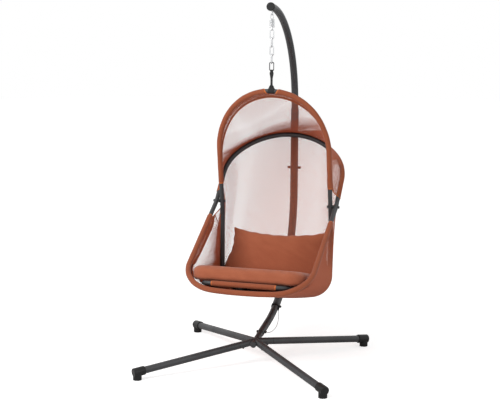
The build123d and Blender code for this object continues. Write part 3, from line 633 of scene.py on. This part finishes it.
coat_nodes(leg_coat, ["base_hub", "leg_front_left", "leg_front_right", "leg_rear_left", "leg_rear_right"])
coat_nodes(stand_coat, ["mast_lower", "mast_middle", "mast_upper"])
coat_nodes(chair_coat, ["hanging_hoop", "rear_lower_frame", "back_arch", "front_loop", "seat_frame"])
coat_nodes(black_plastic, ["foot_front_left", "foot_front_right", "foot_rear_left", "foot_rear_right",
                           "mast_end_cap", "mast_collar", "tether_anchor", "pivot_spacers", "rail_saddles",
                           "rail_plugs"])
coat_nodes(hook_coat, ["carabiner_body", "carabiner_gate", "carabiner_pin", "pivot_bolts", "pivot_nuts",
                       "leg_screws", "hub_bolt", "hub_nut", "mast_bolt", "mast_nut"])
coat_nodes(zinc, ["eye_bolt", "eye_nut", "spring_upper_bar", "spring_lower_bar", "snap_buttons",
                  "chain_link_1", "chain_link_2", "chain_link_3", "chain_link_4"])


def stretching_coil():
    """Spring coil that opens out between its upper and its lower bar."""
    hook, wire_merge, crease = 0.012, 0.000001, math.radians(40)
    coil = nodes["spring_coil"]
    low, high = (Vector(corner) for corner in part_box("spring_coil"))
    bpy.ops.object.select_all(action="DESELECT")
    piece = coil.copy()
    piece.data = coil.data.copy()
    piece.name = piece.data.name = "spring_wire"
    bpy.context.scene.collection.objects.link(piece)
    piece.parent = None
    piece.matrix_world = coil.matrix_world.copy()
    piece.data.materials.clear()
    piece.data.materials.append(zinc)
    pick(piece)
    bpy.ops.object.mode_set(mode="EDIT")
    bpy.ops.mesh.select_all(action="SELECT")
    bpy.ops.mesh.remove_doubles(threshold=wire_merge)
    bpy.ops.object.mode_set(mode="OBJECT")
    bpy.ops.object.shade_smooth_by_angle(angle=crease)
    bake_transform(piece, "spring_top", "spring_bottom", start=(0, low.y, high.z - hook),
             end=(0, low.y, low.z + hook))
    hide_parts("spring_coil")


stretching_coil()


# Tether cable
def tether():
    """Safety cable from the collar's knob to the hub bolt, on the route of the part's source."""
    diameter = 0.003
    route = [(0.024, 0.38563, 0.19736), (0.024, 0.38263, 0.17536), (0.023, 0.39063, 0.15236),
             (0.022, 0.38563, 0.12936), (0.022, 0.35963, 0.11336), (0.022, 0.31963, 0.10736),
             (0.022, 0.276, 0.10617), (0.022, 0.230, 0.11117), (0.022, 0.188, 0.11817),
             (0.023, 0.156, 0.12717), (0.024, 0.134, 0.13817)]
    curve = bpy.data.curves.new("tether_cable", "CURVE")
    curve.dimensions = "3D"
    line = curve.splines.new("NURBS")
    line.points.add(len(route) - 1)
    for point, (x, y, z) in zip(line.points, route):
        point.co = (x, y + shift_y, z, 1)
    line.order_u = 3
    line.use_endpoint_u = True
    line.resolution_u = 12
    curve.bevel_depth = diameter / 2
    curve.bevel_resolution = 4
    curve.materials.append(cable_skin)
    piece = bpy.data.objects.new("tether_cable", curve)
    bpy.context.scene.collection.objects.link(piece)
    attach(piece, "stand")
    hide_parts("tether_cord")
    x, y, z = route[0]


tether()


# Cloth sleeves
sleeve_slack = 0.0006
sleeve_hold = 0.0002
seam_spread = 0.16
hem_length = 0.010
hem_rise = 0.0007


def off_seam(angle, seam_angle):
    """Angle between a point round a sleeve and its seam."""
    return abs((angle - seam_angle + math.pi) % (2 * math.pi) - math.pi)


def sleeve_radius(way, angle, from_seam, seam_rise, gather, waves):
    """Radius of slack cloth with a raised seam and small gathers."""
    radius = sleeve_r - sleeve_slack + seam_rise * math.exp(-(from_seam / seam_spread) ** 2)
    return radius + gather * math.sin(way * waves[0] + 2 * angle) * math.sin(way * waves[1] - angle)


def dress_sleeve(piece, body, node):
    """Close a sleeve and set it on its body in place of the plain solid."""
    close_and_smooth(piece, rolled=True)
    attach(piece, body)
    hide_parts(node)


def hoop_sleeve(name, h, begin, stop, seam_angle, body, node, slant=(0.0, 0.0)):
    """Cloth tube round part of a hoop, with bound ends that are cut straight or on a slant."""
    run_length = stop - begin
    along, over = max(24, int(run_length / 0.009)), 30
    piece = start_grid(name, along, over, sleeve_canvas)

    def place(i, j):
        share = i / along
        angle = 2 * math.pi * j / over
        way = begin + run_length * share
        way += (slant[0] * (1 - share) ** 12 + slant[1] * share ** 12) * math.cos(angle)
        point, _, out, flank = hoop_at(h, way)
        from_end = min(share, 1 - share) * run_length
        from_seam = off_seam(angle, seam_angle)
        radius = sleeve_radius(way, angle, from_seam, seam_rise=0.0013, gather=0.00035, waves=(61, 23))
        if i in (0, along):
            radius = tube_r + sleeve_hold
        elif from_end < hem_length:
            radius += hem_rise
        spot = point + (out * math.cos(angle) + flank * math.sin(angle)) * radius
        return spot, (way, angle * sleeve_r), (from_end, from_seam * sleeve_r)

    lay_grid(piece, along, over, place, ("from_end", "from_seam"))
    dress_sleeve(piece, body, node)


def bar_sleeve():
    """Cloth tube round the middle of the seat bar."""
    along, over, half = 44, 30, 0.178
    seam_angle = math.radians(250)
    piece = start_grid("seat_bar_sleeve_cloth", along, over, sleeve_canvas)

    def place(i, j):
        share = i / along
        x = half * (2 * share - 1)
        angle = 2 * math.pi * j / over
        from_end = min(share, 1 - share) * 2 * half
        from_seam = off_seam(angle, seam_angle)
        radius = sleeve_radius(x, angle, from_seam, seam_rise=0.0010, gather=0.0003, waves=(70, 29))
        if i in (0, along):
            radius = tube_r + sleeve_hold
        spot = seat_bar + across * x + (seat_run * math.cos(angle) + seat_up * math.sin(angle)) * radius
        return spot, (x, angle * sleeve_r), (from_end, from_seam * sleeve_r)

    lay_grid(piece, along, over, place, ("from_end", "from_seam"))
    dress_sleeve(piece, "chair", "seat_bar_sleeve")


strap_gap = 0.029
pivot_gap = 0.107
front_gap = 0.137
slant_cut = 0.0065
back_seam = math.radians(270)
under_seam = math.radians(120)
hoop_length = hanging_hoop["length"]
hoop_sleeve("hoop_sleeve_right_cloth", hanging_hoop, pivot_gap, hoop_length / 2 - strap_gap,
            back_seam, "chair", "hoop_sleeve_right", slant=(0.0, -slant_cut))
hoop_sleeve("hoop_sleeve_left_cloth", hanging_hoop, hoop_length / 2 + strap_gap, hoop_length - pivot_gap,
            back_seam, "chair", "hoop_sleeve_left", slant=(slant_cut, 0.0))
hoop_sleeve("front_sleeve_cloth", front_hoop, front_gap, front_hoop["length"] - front_gap, under_seam,
            "front_frame", "front_loop_sleeve")
bar_sleeve()


# Mesh panels
net_thick = 0.0016
net_lift = 0.0014
sleeve_tuck = 0.0012
wrap_steps = 6
binding_r = 0.0021

# A point inside the chair, which tells inwards from outwards
heart = Vector((0, 0.15, 0.75))

# Each hoop that holds cloth, and where the cloth starts and ends along it
cloth_hoops = {"hanging": (hanging_hoop, 0.108), "arch": (arch_hoop, 0.062), "rear": (rear_hoop, 0.014),
               "front": (front_hoop, 0.145), "rear_wall": (rear_hoop, -0.026)}


def across_run(direction, run):
    """The part of a direction square to a tube's run, one long."""
    return (direction - run * direction.dot(run)).normalized()


def cloth_at(label, share):
    """Point and run of a hoop at a share of the cloth's own length along it."""
    h, start = cloth_hoops[label]
    way = start + (h["length"] - 2 * start) * share
    return hoop_at(h, way)[:2]


def wrap_points(centre, run, here, beyond):
    """Points round the outside of a tube, from where a sheet meets it to midway to the next sheet."""
    outward = across_run(centre - heart, run)
    sides = []
    for direction in (here, beyond):
        square = across_run(direction, run).cross(run)
        sides.append(square if square.dot(outward) > 0 else -square)
    outside = (sides[0] + sides[1]).normalized()
    turns = [sides[0].lerp(outside, k / wrap_steps).normalized() for k in range(wrap_steps + 1)]
    return [centre + turn * (tube_r + net_lift) for turn in turns]


def panel_line(first, second, first_next, second_next, share, over, bow):
    """Line across a panel, which starts at a sleeve or wraps a bare tube where the next panel begins."""
    a, a_run = cloth_at(first, share)
    b, b_run = cloth_at(second, share)
    tail = wrap_points(b, b_run, a - b, cloth_at(second_next, share)[0] - b)
    if first_next is None:
        head = [a + across_run(b - a, a_run) * (sleeve_r - sleeve_tuck)]
    else:
        head = wrap_points(a, a_run, b - a, cloth_at(first_next, share)[0] - a)[::-1]
    inward = (tail[0] - head[-1]).cross(a_run + b_run).normalized() * bow
    if inward.dot(heart - head[-1].lerp(tail[0], 0.5)) < 0:
        inward = -inward
    middle = []
    steps = over - len(head) - len(tail) + 2
    for k in range(steps + 1):
        part = k / steps
        middle.append(head[-1].lerp(tail[0], part) + inward * 4 * part * (1 - part))
    return head[:-1] + middle + tail[1:]


def painted_shade_inside(piece):
    """Keep a panel's strip of painted shade on the side that faces the seat."""
    out_of_reach = 1.0
    spots = piece.data.vertices
    half = len(spots) // 2
    painted_shade = piece.data.attributes["from_painted_shade"].data
    for k in range(half):
        near = (spots[k].co - heart).length < (spots[k + half].co - heart).length
        painted_shade[k + half if near else k].value = out_of_reach


def edge_binding(name, line):
    """Rolled orange binding along a panel's end."""
    along, over = len(line) - 1, 10
    askew = Vector((0.31, 0.22, 0.92))
    ways = ways_along(line)
    piece = start_grid(name, along, over, binding_cloth)

    def place(i, j):
        run = (line[min(i + 1, along)] - line[max(i - 1, 0)]).normalized()
        first = run.cross(askew).normalized()
        second = run.cross(first)
        angle = 2 * math.pi * j / over
        spot = line[i] + (first * math.cos(angle) + second * math.sin(angle)) * binding_r
        return spot, (ways[i], angle * binding_r), ()

    lay_grid(piece, along, over, place, ())
    close_and_smooth(piece, rolled=True)
    return piece


def mesh_panel(name, material, first, second, first_next, second_next, along, over, density, draw_in):
    """Mesh stretched between two hoops; gives it, its area, its length and width, and its bindings."""
    rows = []
    for i in range(along + 1):
        share = i / along
        rows.append(panel_line(first, second, first_next, second_next, share, over, draw_in(share)))
    widths = [ways_along(line) for line in rows]
    lengths = [ways_along(column) for column in zip(*rows)]
    centre_line = lengths[over // 2]

    def place(i, j):
        from_first = widths[i][j]
        from_second = widths[i][over] - from_first
        from_end = min(lengths[j][i], lengths[j][along] - lengths[j][i])
        closer, from_tape, painted_shade_more, seam_shift = density(rows[i][j], from_first, from_second)
        measured = (from_first + seam_shift, from_second, from_end, closer, from_tape, from_first - painted_shade_more)
        return rows[i][j], (centre_line[i], from_first), measured

    piece = start_grid(name, along, over, material)
    lay_grid(piece, along, over, place,
             ("from_first", "from_second", "from_end", "closer", "from_tape", "from_painted_shade"))
    close_and_smooth(piece)
    area = sum(polygon.area for polygon in piece.data.polygons)
    thicken(piece, net_thick)
    painted_shade_inside(piece)
    edges = [edge_binding(f"{name}_binding_{side}", rows[i]) for side, i in (("right", 0), ("left", along))]
    return piece, area, centre_line[-1], max(steps[-1] for steps in widths), edges


# How close each panel's weave is, how far its tape is, and how far its strip of painted shade and its seam
# shift
def canopy_density(spot, from_first, from_second):
    """Closer weave by the sleeve and where the crown comes down to the arch; no tape or painted shade of its
    own.
    """
    crown = ease(1.02, 1.14, spot.z)
    reach = 0.090 + (0.05 * ease(0.08, 0.30, abs(spot.x)) - 0.020) * crown
    closer = (0.14 + 0.32 * crown) * ease(reach, 0.02, from_second)
    return closer + 0.42 * ease(0.036, 0.026, from_first), 1.0, 0.0, 0.0


def back_density(spot, from_first, from_second):
    """Open weave, closer only at the foot behind the cushion; no tape or painted shade of its own."""
    return 1.6 * ease(0.45, 0.36, spot.z), 1.0, 0.0, 0.0


def bucket_density(spot, from_first, from_second):
    """Closer weave low down and by the rear frame, a tape down each wall and a dark strip of painted shade
    along the bottom.
    """
    side = abs(spot.x)
    low = ease(0.535, 0.495, spot.z)
    under = ease(0.490, 0.472, spot.z)
    bend = ease(0.19, 0.25, side) * under
    foot = 0.46 * ease(0.505, 0.44, spot.z) * ease(0.10, 0.20, from_first)
    rear = 0.19 * ease(0.30, 0.03, from_second) * ease(0.76, 0.58, spot.z)
    rim = 0.55 * ease(0.050, 0.034, from_first) * (1 - under)
    open_bend = 0.24 * ease(0.16, 0.09, from_first) * bend
    closer = foot + rear + rim - open_bend
    tape_at = 0.015 + 0.075 * ease(0.50, 0.72, spot.z)
    if from_second < tape_at:
        closer -= 0.06 * ease(0.47, 0.60, spot.z)
    # The strip of painted shade reaches further from the front loop in the middle of the bottom and is gone
    # higher up the walls
    painted_shade_more = 0.135 * ease(0.25, 0.19, side) - 0.2 * ease(0.535, 0.560, spot.z)
    return closer, from_second - tape_at, painted_shade_more, 0.1 * low


def canopy_draw(share):
    """How far the canopy is drawn in between its hoops: most at the crown."""
    return 0.014 + 0.020 * math.sin(math.pi * share) ** 2


def back_draw(share):
    """The back is drawn in at its sides and flat in the middle."""
    return 0.024 * ease(0.30, 0.06, min(share, 1 - share))


def bucket_draw(share):
    """The walls of the bucket are drawn in, its bottom not at all."""
    end = min(share, 1 - share)
    return 0.021 * ease(0.30, 0.14, end) * ease(0.0, 0.06, end)


def angle_about_pivot(spot):
    """Angle of a point about the fold's axis, in degrees, forward of the back."""
    return math.degrees(math.atan2(spot.z - pivot.z, spot.y - pivot.y))


def fold_with_frames(piece, chair_angle, frame_angle):
    """Let a panel turn with the chair at one hoop's angle and with the front frame at the other's."""
    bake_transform(piece, "chair", "front_frame", start=pivot, end=pivot + arch_rise * 0.3)

    weights = piece.data.attributes["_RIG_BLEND"].data
    for vertex, weight in zip(piece.data.vertices, weights):
        angle = angle_about_pivot(vertex.co)
        while angle > max(chair_angle, frame_angle) + 90:
            angle -= 360
        while angle < min(chair_angle, frame_angle) - 90:
            angle += 360
        weight.value = min(1.0, max(0.0, (angle - chair_angle) / (frame_angle - chair_angle)))


def dress_panel(made, node, chair_angle, frame_angle):
    """Hide the plain solid a panel replaces, and let the panel and its bindings follow the fold."""
    piece, area, length, width, edges = made
    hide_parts(node)
    for part in (piece, *edges):
        fold_with_frames(part, chair_angle, frame_angle)


dress_panel(mesh_panel("canopy_net", canopy_net, "hanging", "arch", None, "rear", along=160, over=30,
                       density=canopy_density, draw_in=canopy_draw),
            "canopy_mesh", hoop_angle, arch_angle)
dress_panel(mesh_panel("back_net", back_net, "arch", "rear", "hanging", "front", along=160, over=40,
                       density=back_density, draw_in=back_draw),
            "back_mesh", rear_angle, arch_angle)
dress_panel(mesh_panel("bucket_net", bucket_net, "front", "rear_wall", None, "arch", along=170, over=36,
                       density=bucket_density, draw_in=bucket_draw),
            "bucket_mesh", rear_angle, front_angle)


# Cushions
def select_edges(piece, wanted):
    """Select edges of the piece in edit mode by a test."""
    bpy.ops.mesh.select_mode(type="EDGE")
    bpy.ops.mesh.select_all(action="DESELECT")
    shape = bmesh.from_edit_mesh(piece.data)
    shape.normal_update()
    for edge in shape.edges:
        edge.select_set(wanted(edge))
    bmesh.update_edit_mesh(piece.data)


def swell(piece, pressure, frames, cap, stiffness=12.0, held=""):
    """Blow a closed cover up with cloth, its held points kept, limiting how far any point may move."""
    before = [vertex.co.copy() for vertex in piece.data.vertices]
    pick(piece)
    cloth = piece.modifiers.new("filling", "CLOTH")
    cloth.settings.use_pressure = True
    cloth.settings.uniform_pressure_force = pressure
    cloth.settings.effector_weights.gravity = 0
    cloth.settings.quality = 6
    cloth.settings.tension_stiffness = stiffness
    cloth.settings.compression_stiffness = stiffness
    cloth.settings.bending_stiffness = 0.6
    cloth.settings.mass = 0.3
    cloth.settings.vertex_group_mass = held
    cloth.point_cache.frame_start = 1
    cloth.point_cache.frame_end = frames
    scene = bpy.context.scene
    for number in range(1, frames + 1):
        scene.frame_set(number)
    bpy.ops.object.modifier_apply(modifier=cloth.name)
    scene.frame_set(1)
    for vertex, rest in zip(piece.data.vertices, before):
        move = vertex.co - rest
        if move.length > cap:
            vertex.co = rest + move * (cap / move.length)
    piece.data.update()


def refine(piece):
    """One smooth subdivision, applied."""
    pick(piece)
    finer = piece.modifiers.new("finer", "SUBSURF")
    finer.levels = finer.render_levels = 1
    bpy.ops.object.modifier_apply(modifier=finer.name)
    bpy.ops.object.shade_smooth()


def set_down(piece, matrix):
    """Move a piece's mesh to its place and leave the object at the origin."""
    piece.data.transform(matrix)
    piece.data.update()


def plane_matrix(origin, x_axis, y_axis):
    """Placement with the given directions."""
    z_axis = x_axis.cross(y_axis)
    turn = Matrix((x_axis, y_axis, z_axis)).transposed().to_4x4()
    return Matrix.Translation(origin) @ turn


def press_against(piece, h, clear):
    """Press a cushion in and up where a hoop's sleeve stands against it."""
    steps, near, lift = 1200, 0.06, 0.7
    line = KDTree(steps + 1)
    for k in range(steps + 1):
        line.insert(hoop_at(h, h["length"] * k / steps)[0], k)
    line.balance()
    for vertex in piece.data.vertices:
        point, _, gap = line.find(vertex.co)
        if gap > near:
            continue
        away = vertex.co - point
        inward = Vector((-math.copysign(1.0, point.x), 0.0, lift)).normalized()
        ahead = away.dot(inward)
        aside = away.length_squared - ahead * ahead
        if aside < clear * clear and ahead < math.sqrt(clear * clear - aside):
            vertex.co = vertex.co + inward * (math.sqrt(clear * clear - aside) - ahead)
    piece.data.update()


def seat_cushion():
    """Boxy seat pad: tapered, round-cornered block, remeshed, swollen and pressed in by the front loop."""
    depth, thick, front_half, rear_half = 0.571, 0.066, 0.330, 0.268
    corner_r, edge_r, voxel_size = 0.105, 0.018, 0.0065
    bar_gap, bar_behind, sleeve_gap = 0.0030, 0.002, 0.0022
    bpy.ops.object.select_all(action="DESELECT")
    bpy.ops.mesh.primitive_cube_add(size=1)
    piece = bpy.context.object
    piece.name = "seat_cushion_pad"
    for vertex in piece.data.vertices:
        x, y, z = vertex.co
        half = rear_half if y > 0 else front_half
        vertex.co = (math.copysign(half, x), depth * (y + 0.5), thick * (z + 0.5))
    bpy.ops.object.mode_set(mode="EDIT")
    select_edges(piece, lambda edge: abs(edge.verts[0].co.z - edge.verts[1].co.z) > thick / 2)
    bpy.ops.mesh.bevel(offset=corner_r, segments=12, profile=0.5, affect="EDGES")
    select_edges(piece, lambda edge: abs(edge.link_faces[0].normal.z - edge.link_faces[1].normal.z) > 0.5)
    bpy.ops.mesh.bevel(offset=edge_r, segments=4, profile=0.5, affect="EDGES")
    bpy.ops.object.mode_set(mode="OBJECT")
    voxel = piece.modifiers.new("even", "REMESH")
    voxel.mode = "VOXEL"
    voxel.voxel_size = voxel_size
    bpy.ops.object.modifier_apply(modifier=voxel.name)
    swell(piece, pressure=4.0, frames=20, cap=0.012)
    for vertex in piece.data.vertices:
        vertex.co.z = max(vertex.co.z, 0.0)
    refine(piece)
    piece.data.materials.append(cushion_weave)
    at = seat_bar + seat_up * (tube_r + bar_gap) + seat_run * bar_behind
    set_down(piece, plane_matrix(at, across, seat_run))
    press_against(piece, front_hoop, sleeve_r + sleeve_gap)
    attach(piece, "chair")
    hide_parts("seat_cushion")


def pillow_outline(u, v):
    """Flat cover of the pillow: ears at the corners, a slack top edge, a wider foot and uneven edges."""
    half_width, height, foot = 0.282, 0.306, -0.160
    rise = (v + 1) / 2
    ear = (abs(u) * abs(v)) ** 9
    flare = 0.024 * u ** 5 * ease(0.66, 0.30, rise) * (1 - 0.5 * ease(0.25, 0.0, rise))
    x = half_width * u * (1 - 0.045 * v - 0.030 * (1 - v * v)) + 0.005 * ear * math.copysign(1, u)
    y = foot + height * rise - 0.033 * (1 - u * u) * rise ** 2 + 0.010 * (1 - u * u) * (1 - rise) ** 2
    y += 0.006 * ear * math.copysign(1, v)
    x += flare
    x += 0.0018 * math.sin(19 * v) * abs(u) ** 6
    y += 0.0020 * math.sin(23 * u + 0.6) * abs(v) ** 6
    return x, y


def lumbar_pillow():
    """Loose pillow: two covers sewn at a knife edge and blown up between their held seam."""
    half_edge, crown, bent_back, up_the_back, off_the_back = 0.003, 0.034, 0.026, 0.222, 0.06825
    bpy.ops.object.select_all(action="DESELECT")
    bpy.ops.mesh.primitive_cube_add(size=2)
    piece = bpy.context.object
    piece.name = "lumbar_pillow_pad"
    bpy.ops.object.mode_set(mode="EDIT")
    select_edges(piece, lambda edge: abs(edge.verts[0].co.z - edge.verts[1].co.z) < 0.002)
    bpy.ops.mesh.subdivide(number_cuts=39)
    bpy.ops.object.mode_set(mode="OBJECT")
    seam = piece.vertex_groups.new(name="seam")
    for vertex in piece.data.vertices:
        u, v, side = vertex.co
        if max(abs(u), abs(v)) > 0.999:
            seam.add([vertex.index], 1.0, "REPLACE")
        puff = crown * ((1 - u * u) * (1 - v * v)) ** 0.42
        x, y = pillow_outline(u, v)
        vertex.co = (x, y, side * (half_edge + puff) - bent_back * ease(0.30, 1.0, abs(u)))
    swell(piece, pressure=3.0, frames=24, cap=0.030, stiffness=10.0, held=seam.name)
    refine(piece)
    piece.data.materials.append(cushion_weave)
    back_run = (arch_top - rear_bottom).normalized()
    at = rear_bottom + back_run * up_the_back + across.cross(back_run) * off_the_back
    set_down(piece, plane_matrix(at, across, back_run))
    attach(piece, "chair")
    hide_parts("lumbar_pillow")


seat_cushion()
lumbar_pillow()


# Hanging strap
def hanging_strap():
    """Webbing band: from the hoop up over the carabiner, down and round the hoop, drawn in at the neck."""
    hang_y, top_z, bottom_z = 0.280 + shift_y, 1.57234, 1.459337
    hook_r, gap, half_web, web_thick, lay = 0.0025, 0.0003, 0.0010, 0.0018, 0.0011
    eye = hook_r + gap + half_web
    wrap = tube_r + gap + half_web
    eye_foot = top_z - eye * 0.8
    neck = bottom_z + wrap + 0.004
    levels = [(top_z - eye, 0.0150), (top_z - eye - 0.010, 0.022), (top_z - eye - 0.044, 0.012),
              (bottom_z + wrap + 0.022, 0.012), (bottom_z + wrap + 0.008, 0.028),
              (bottom_z + wrap - 0.002, 0.034)]

    def width(z):
        if z >= levels[0][0]:
            return levels[0][1]
        for (high, high_width), (low, low_width) in zip(levels, levels[1:]):
            if z >= low:
                return low_width + (high_width - low_width) * ease(low, high, z)
        return levels[-1][1]

    def straight(y, start, stop, steps=24):
        return [(y, start + (stop - start) * k / steps) for k in range(steps + 1)]

    def arc(radius, height, start, sweep, steps):
        turns = [math.radians(start + sweep * k / steps) for k in range(1, steps)]
        return [(radius * math.cos(turn), height + radius * math.sin(turn)) for turn in turns]

    route = straight(lay, neck, eye_foot) + arc(eye, top_z, 20, 140, 12)
    route += straight(-lay, eye_foot, neck) + arc(wrap, bottom_z, 100, 340, 32)
    line = [Vector((0, hang_y + y, z)) for y, z in route + route[:1]]
    along, over = len(line) - 1, 8
    ways = ways_along(line)
    piece = start_grid("hanging_strap_web", along, over, webbing)

    def place(i, j):
        x = (j / over - 0.5) * width(line[i].z)
        return line[i] + across * x, (x, ways[i]), ()

    lay_grid(piece, along, over, place, ())
    close_and_smooth(piece, rolled=True)
    thicken(piece, web_thick)
    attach(piece, "chair")
    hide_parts("hanging_strap")


hanging_strap()


# Stage and light
def studio_floor():
    """White floor that keeps a soft shadow."""
    glow = 0.60
    bpy.ops.object.select_all(action="DESELECT")
    bpy.ops.mesh.primitive_circle_add(vertices=64, radius=14, fill_type="NGON")
    floor = bpy.context.object
    floor.name = "studio_floor"
    material, tree, shader, _ = finish_of("studio_floor", 0.9)
    shader.inputs["Specular IOR Level"].default_value = 0.1
    shader.inputs["Base Color"].default_value = (0.93, 0.93, 0.93, 1)
    shader.inputs["Emission Color"].default_value = (1, 1, 1, 1)
    path = tree.nodes.new("ShaderNodeLightPath")
    tree.links.new(sums(tree, "MULTIPLY", path.outputs["Is Camera Ray"], glow),
                   shader.inputs["Emission Strength"])
    floor.data.materials.append(material)


def studio_world():
    """Surroundings that look white and light the chair less than that."""
    light = 0.45
    world = bpy.data.worlds.new("studio_world")
    bpy.context.scene.world = world
    world.use_nodes = True
    tree = world.node_tree
    sky = tree.nodes["Background"]
    sky.inputs["Color"].default_value = (1, 1, 1, 1)
    path = tree.nodes.new("ShaderNodeLightPath")
    seen = any_of(tree, path.outputs["Is Camera Ray"], path.outputs["Is Glossy Ray"],
                  path.outputs["Is Transmission Ray"])
    tree.links.new(sums(tree, "MULTIPLY_ADD", seen, 1 - light, light), sky.inputs["Strength"])


def soft_lamp(name, place, size, power):
    """Round lamp turned to the middle of the chair."""
    data = bpy.data.lights.new(name, "AREA")
    data.shape = "DISK"
    data.size = size
    data.energy = power
    lamp = bpy.data.objects.new(name, data)
    lamp.location = place
    lamp.rotation_euler = (Vector((0, 0, 0.9)) - Vector(place)).to_track_quat("-Z", "Y").to_euler()
    bpy.context.scene.collection.objects.link(lamp)


studio_floor()
studio_world()
soft_lamp("key_lamp", (-2.6, -3.6, 4.2), size=2.6, power=150)
soft_lamp("fill_lamp", (3.6, -2.8, 2.6), size=2.6, power=22)
bpy.context.scene.view_settings.view_transform = "Standard"
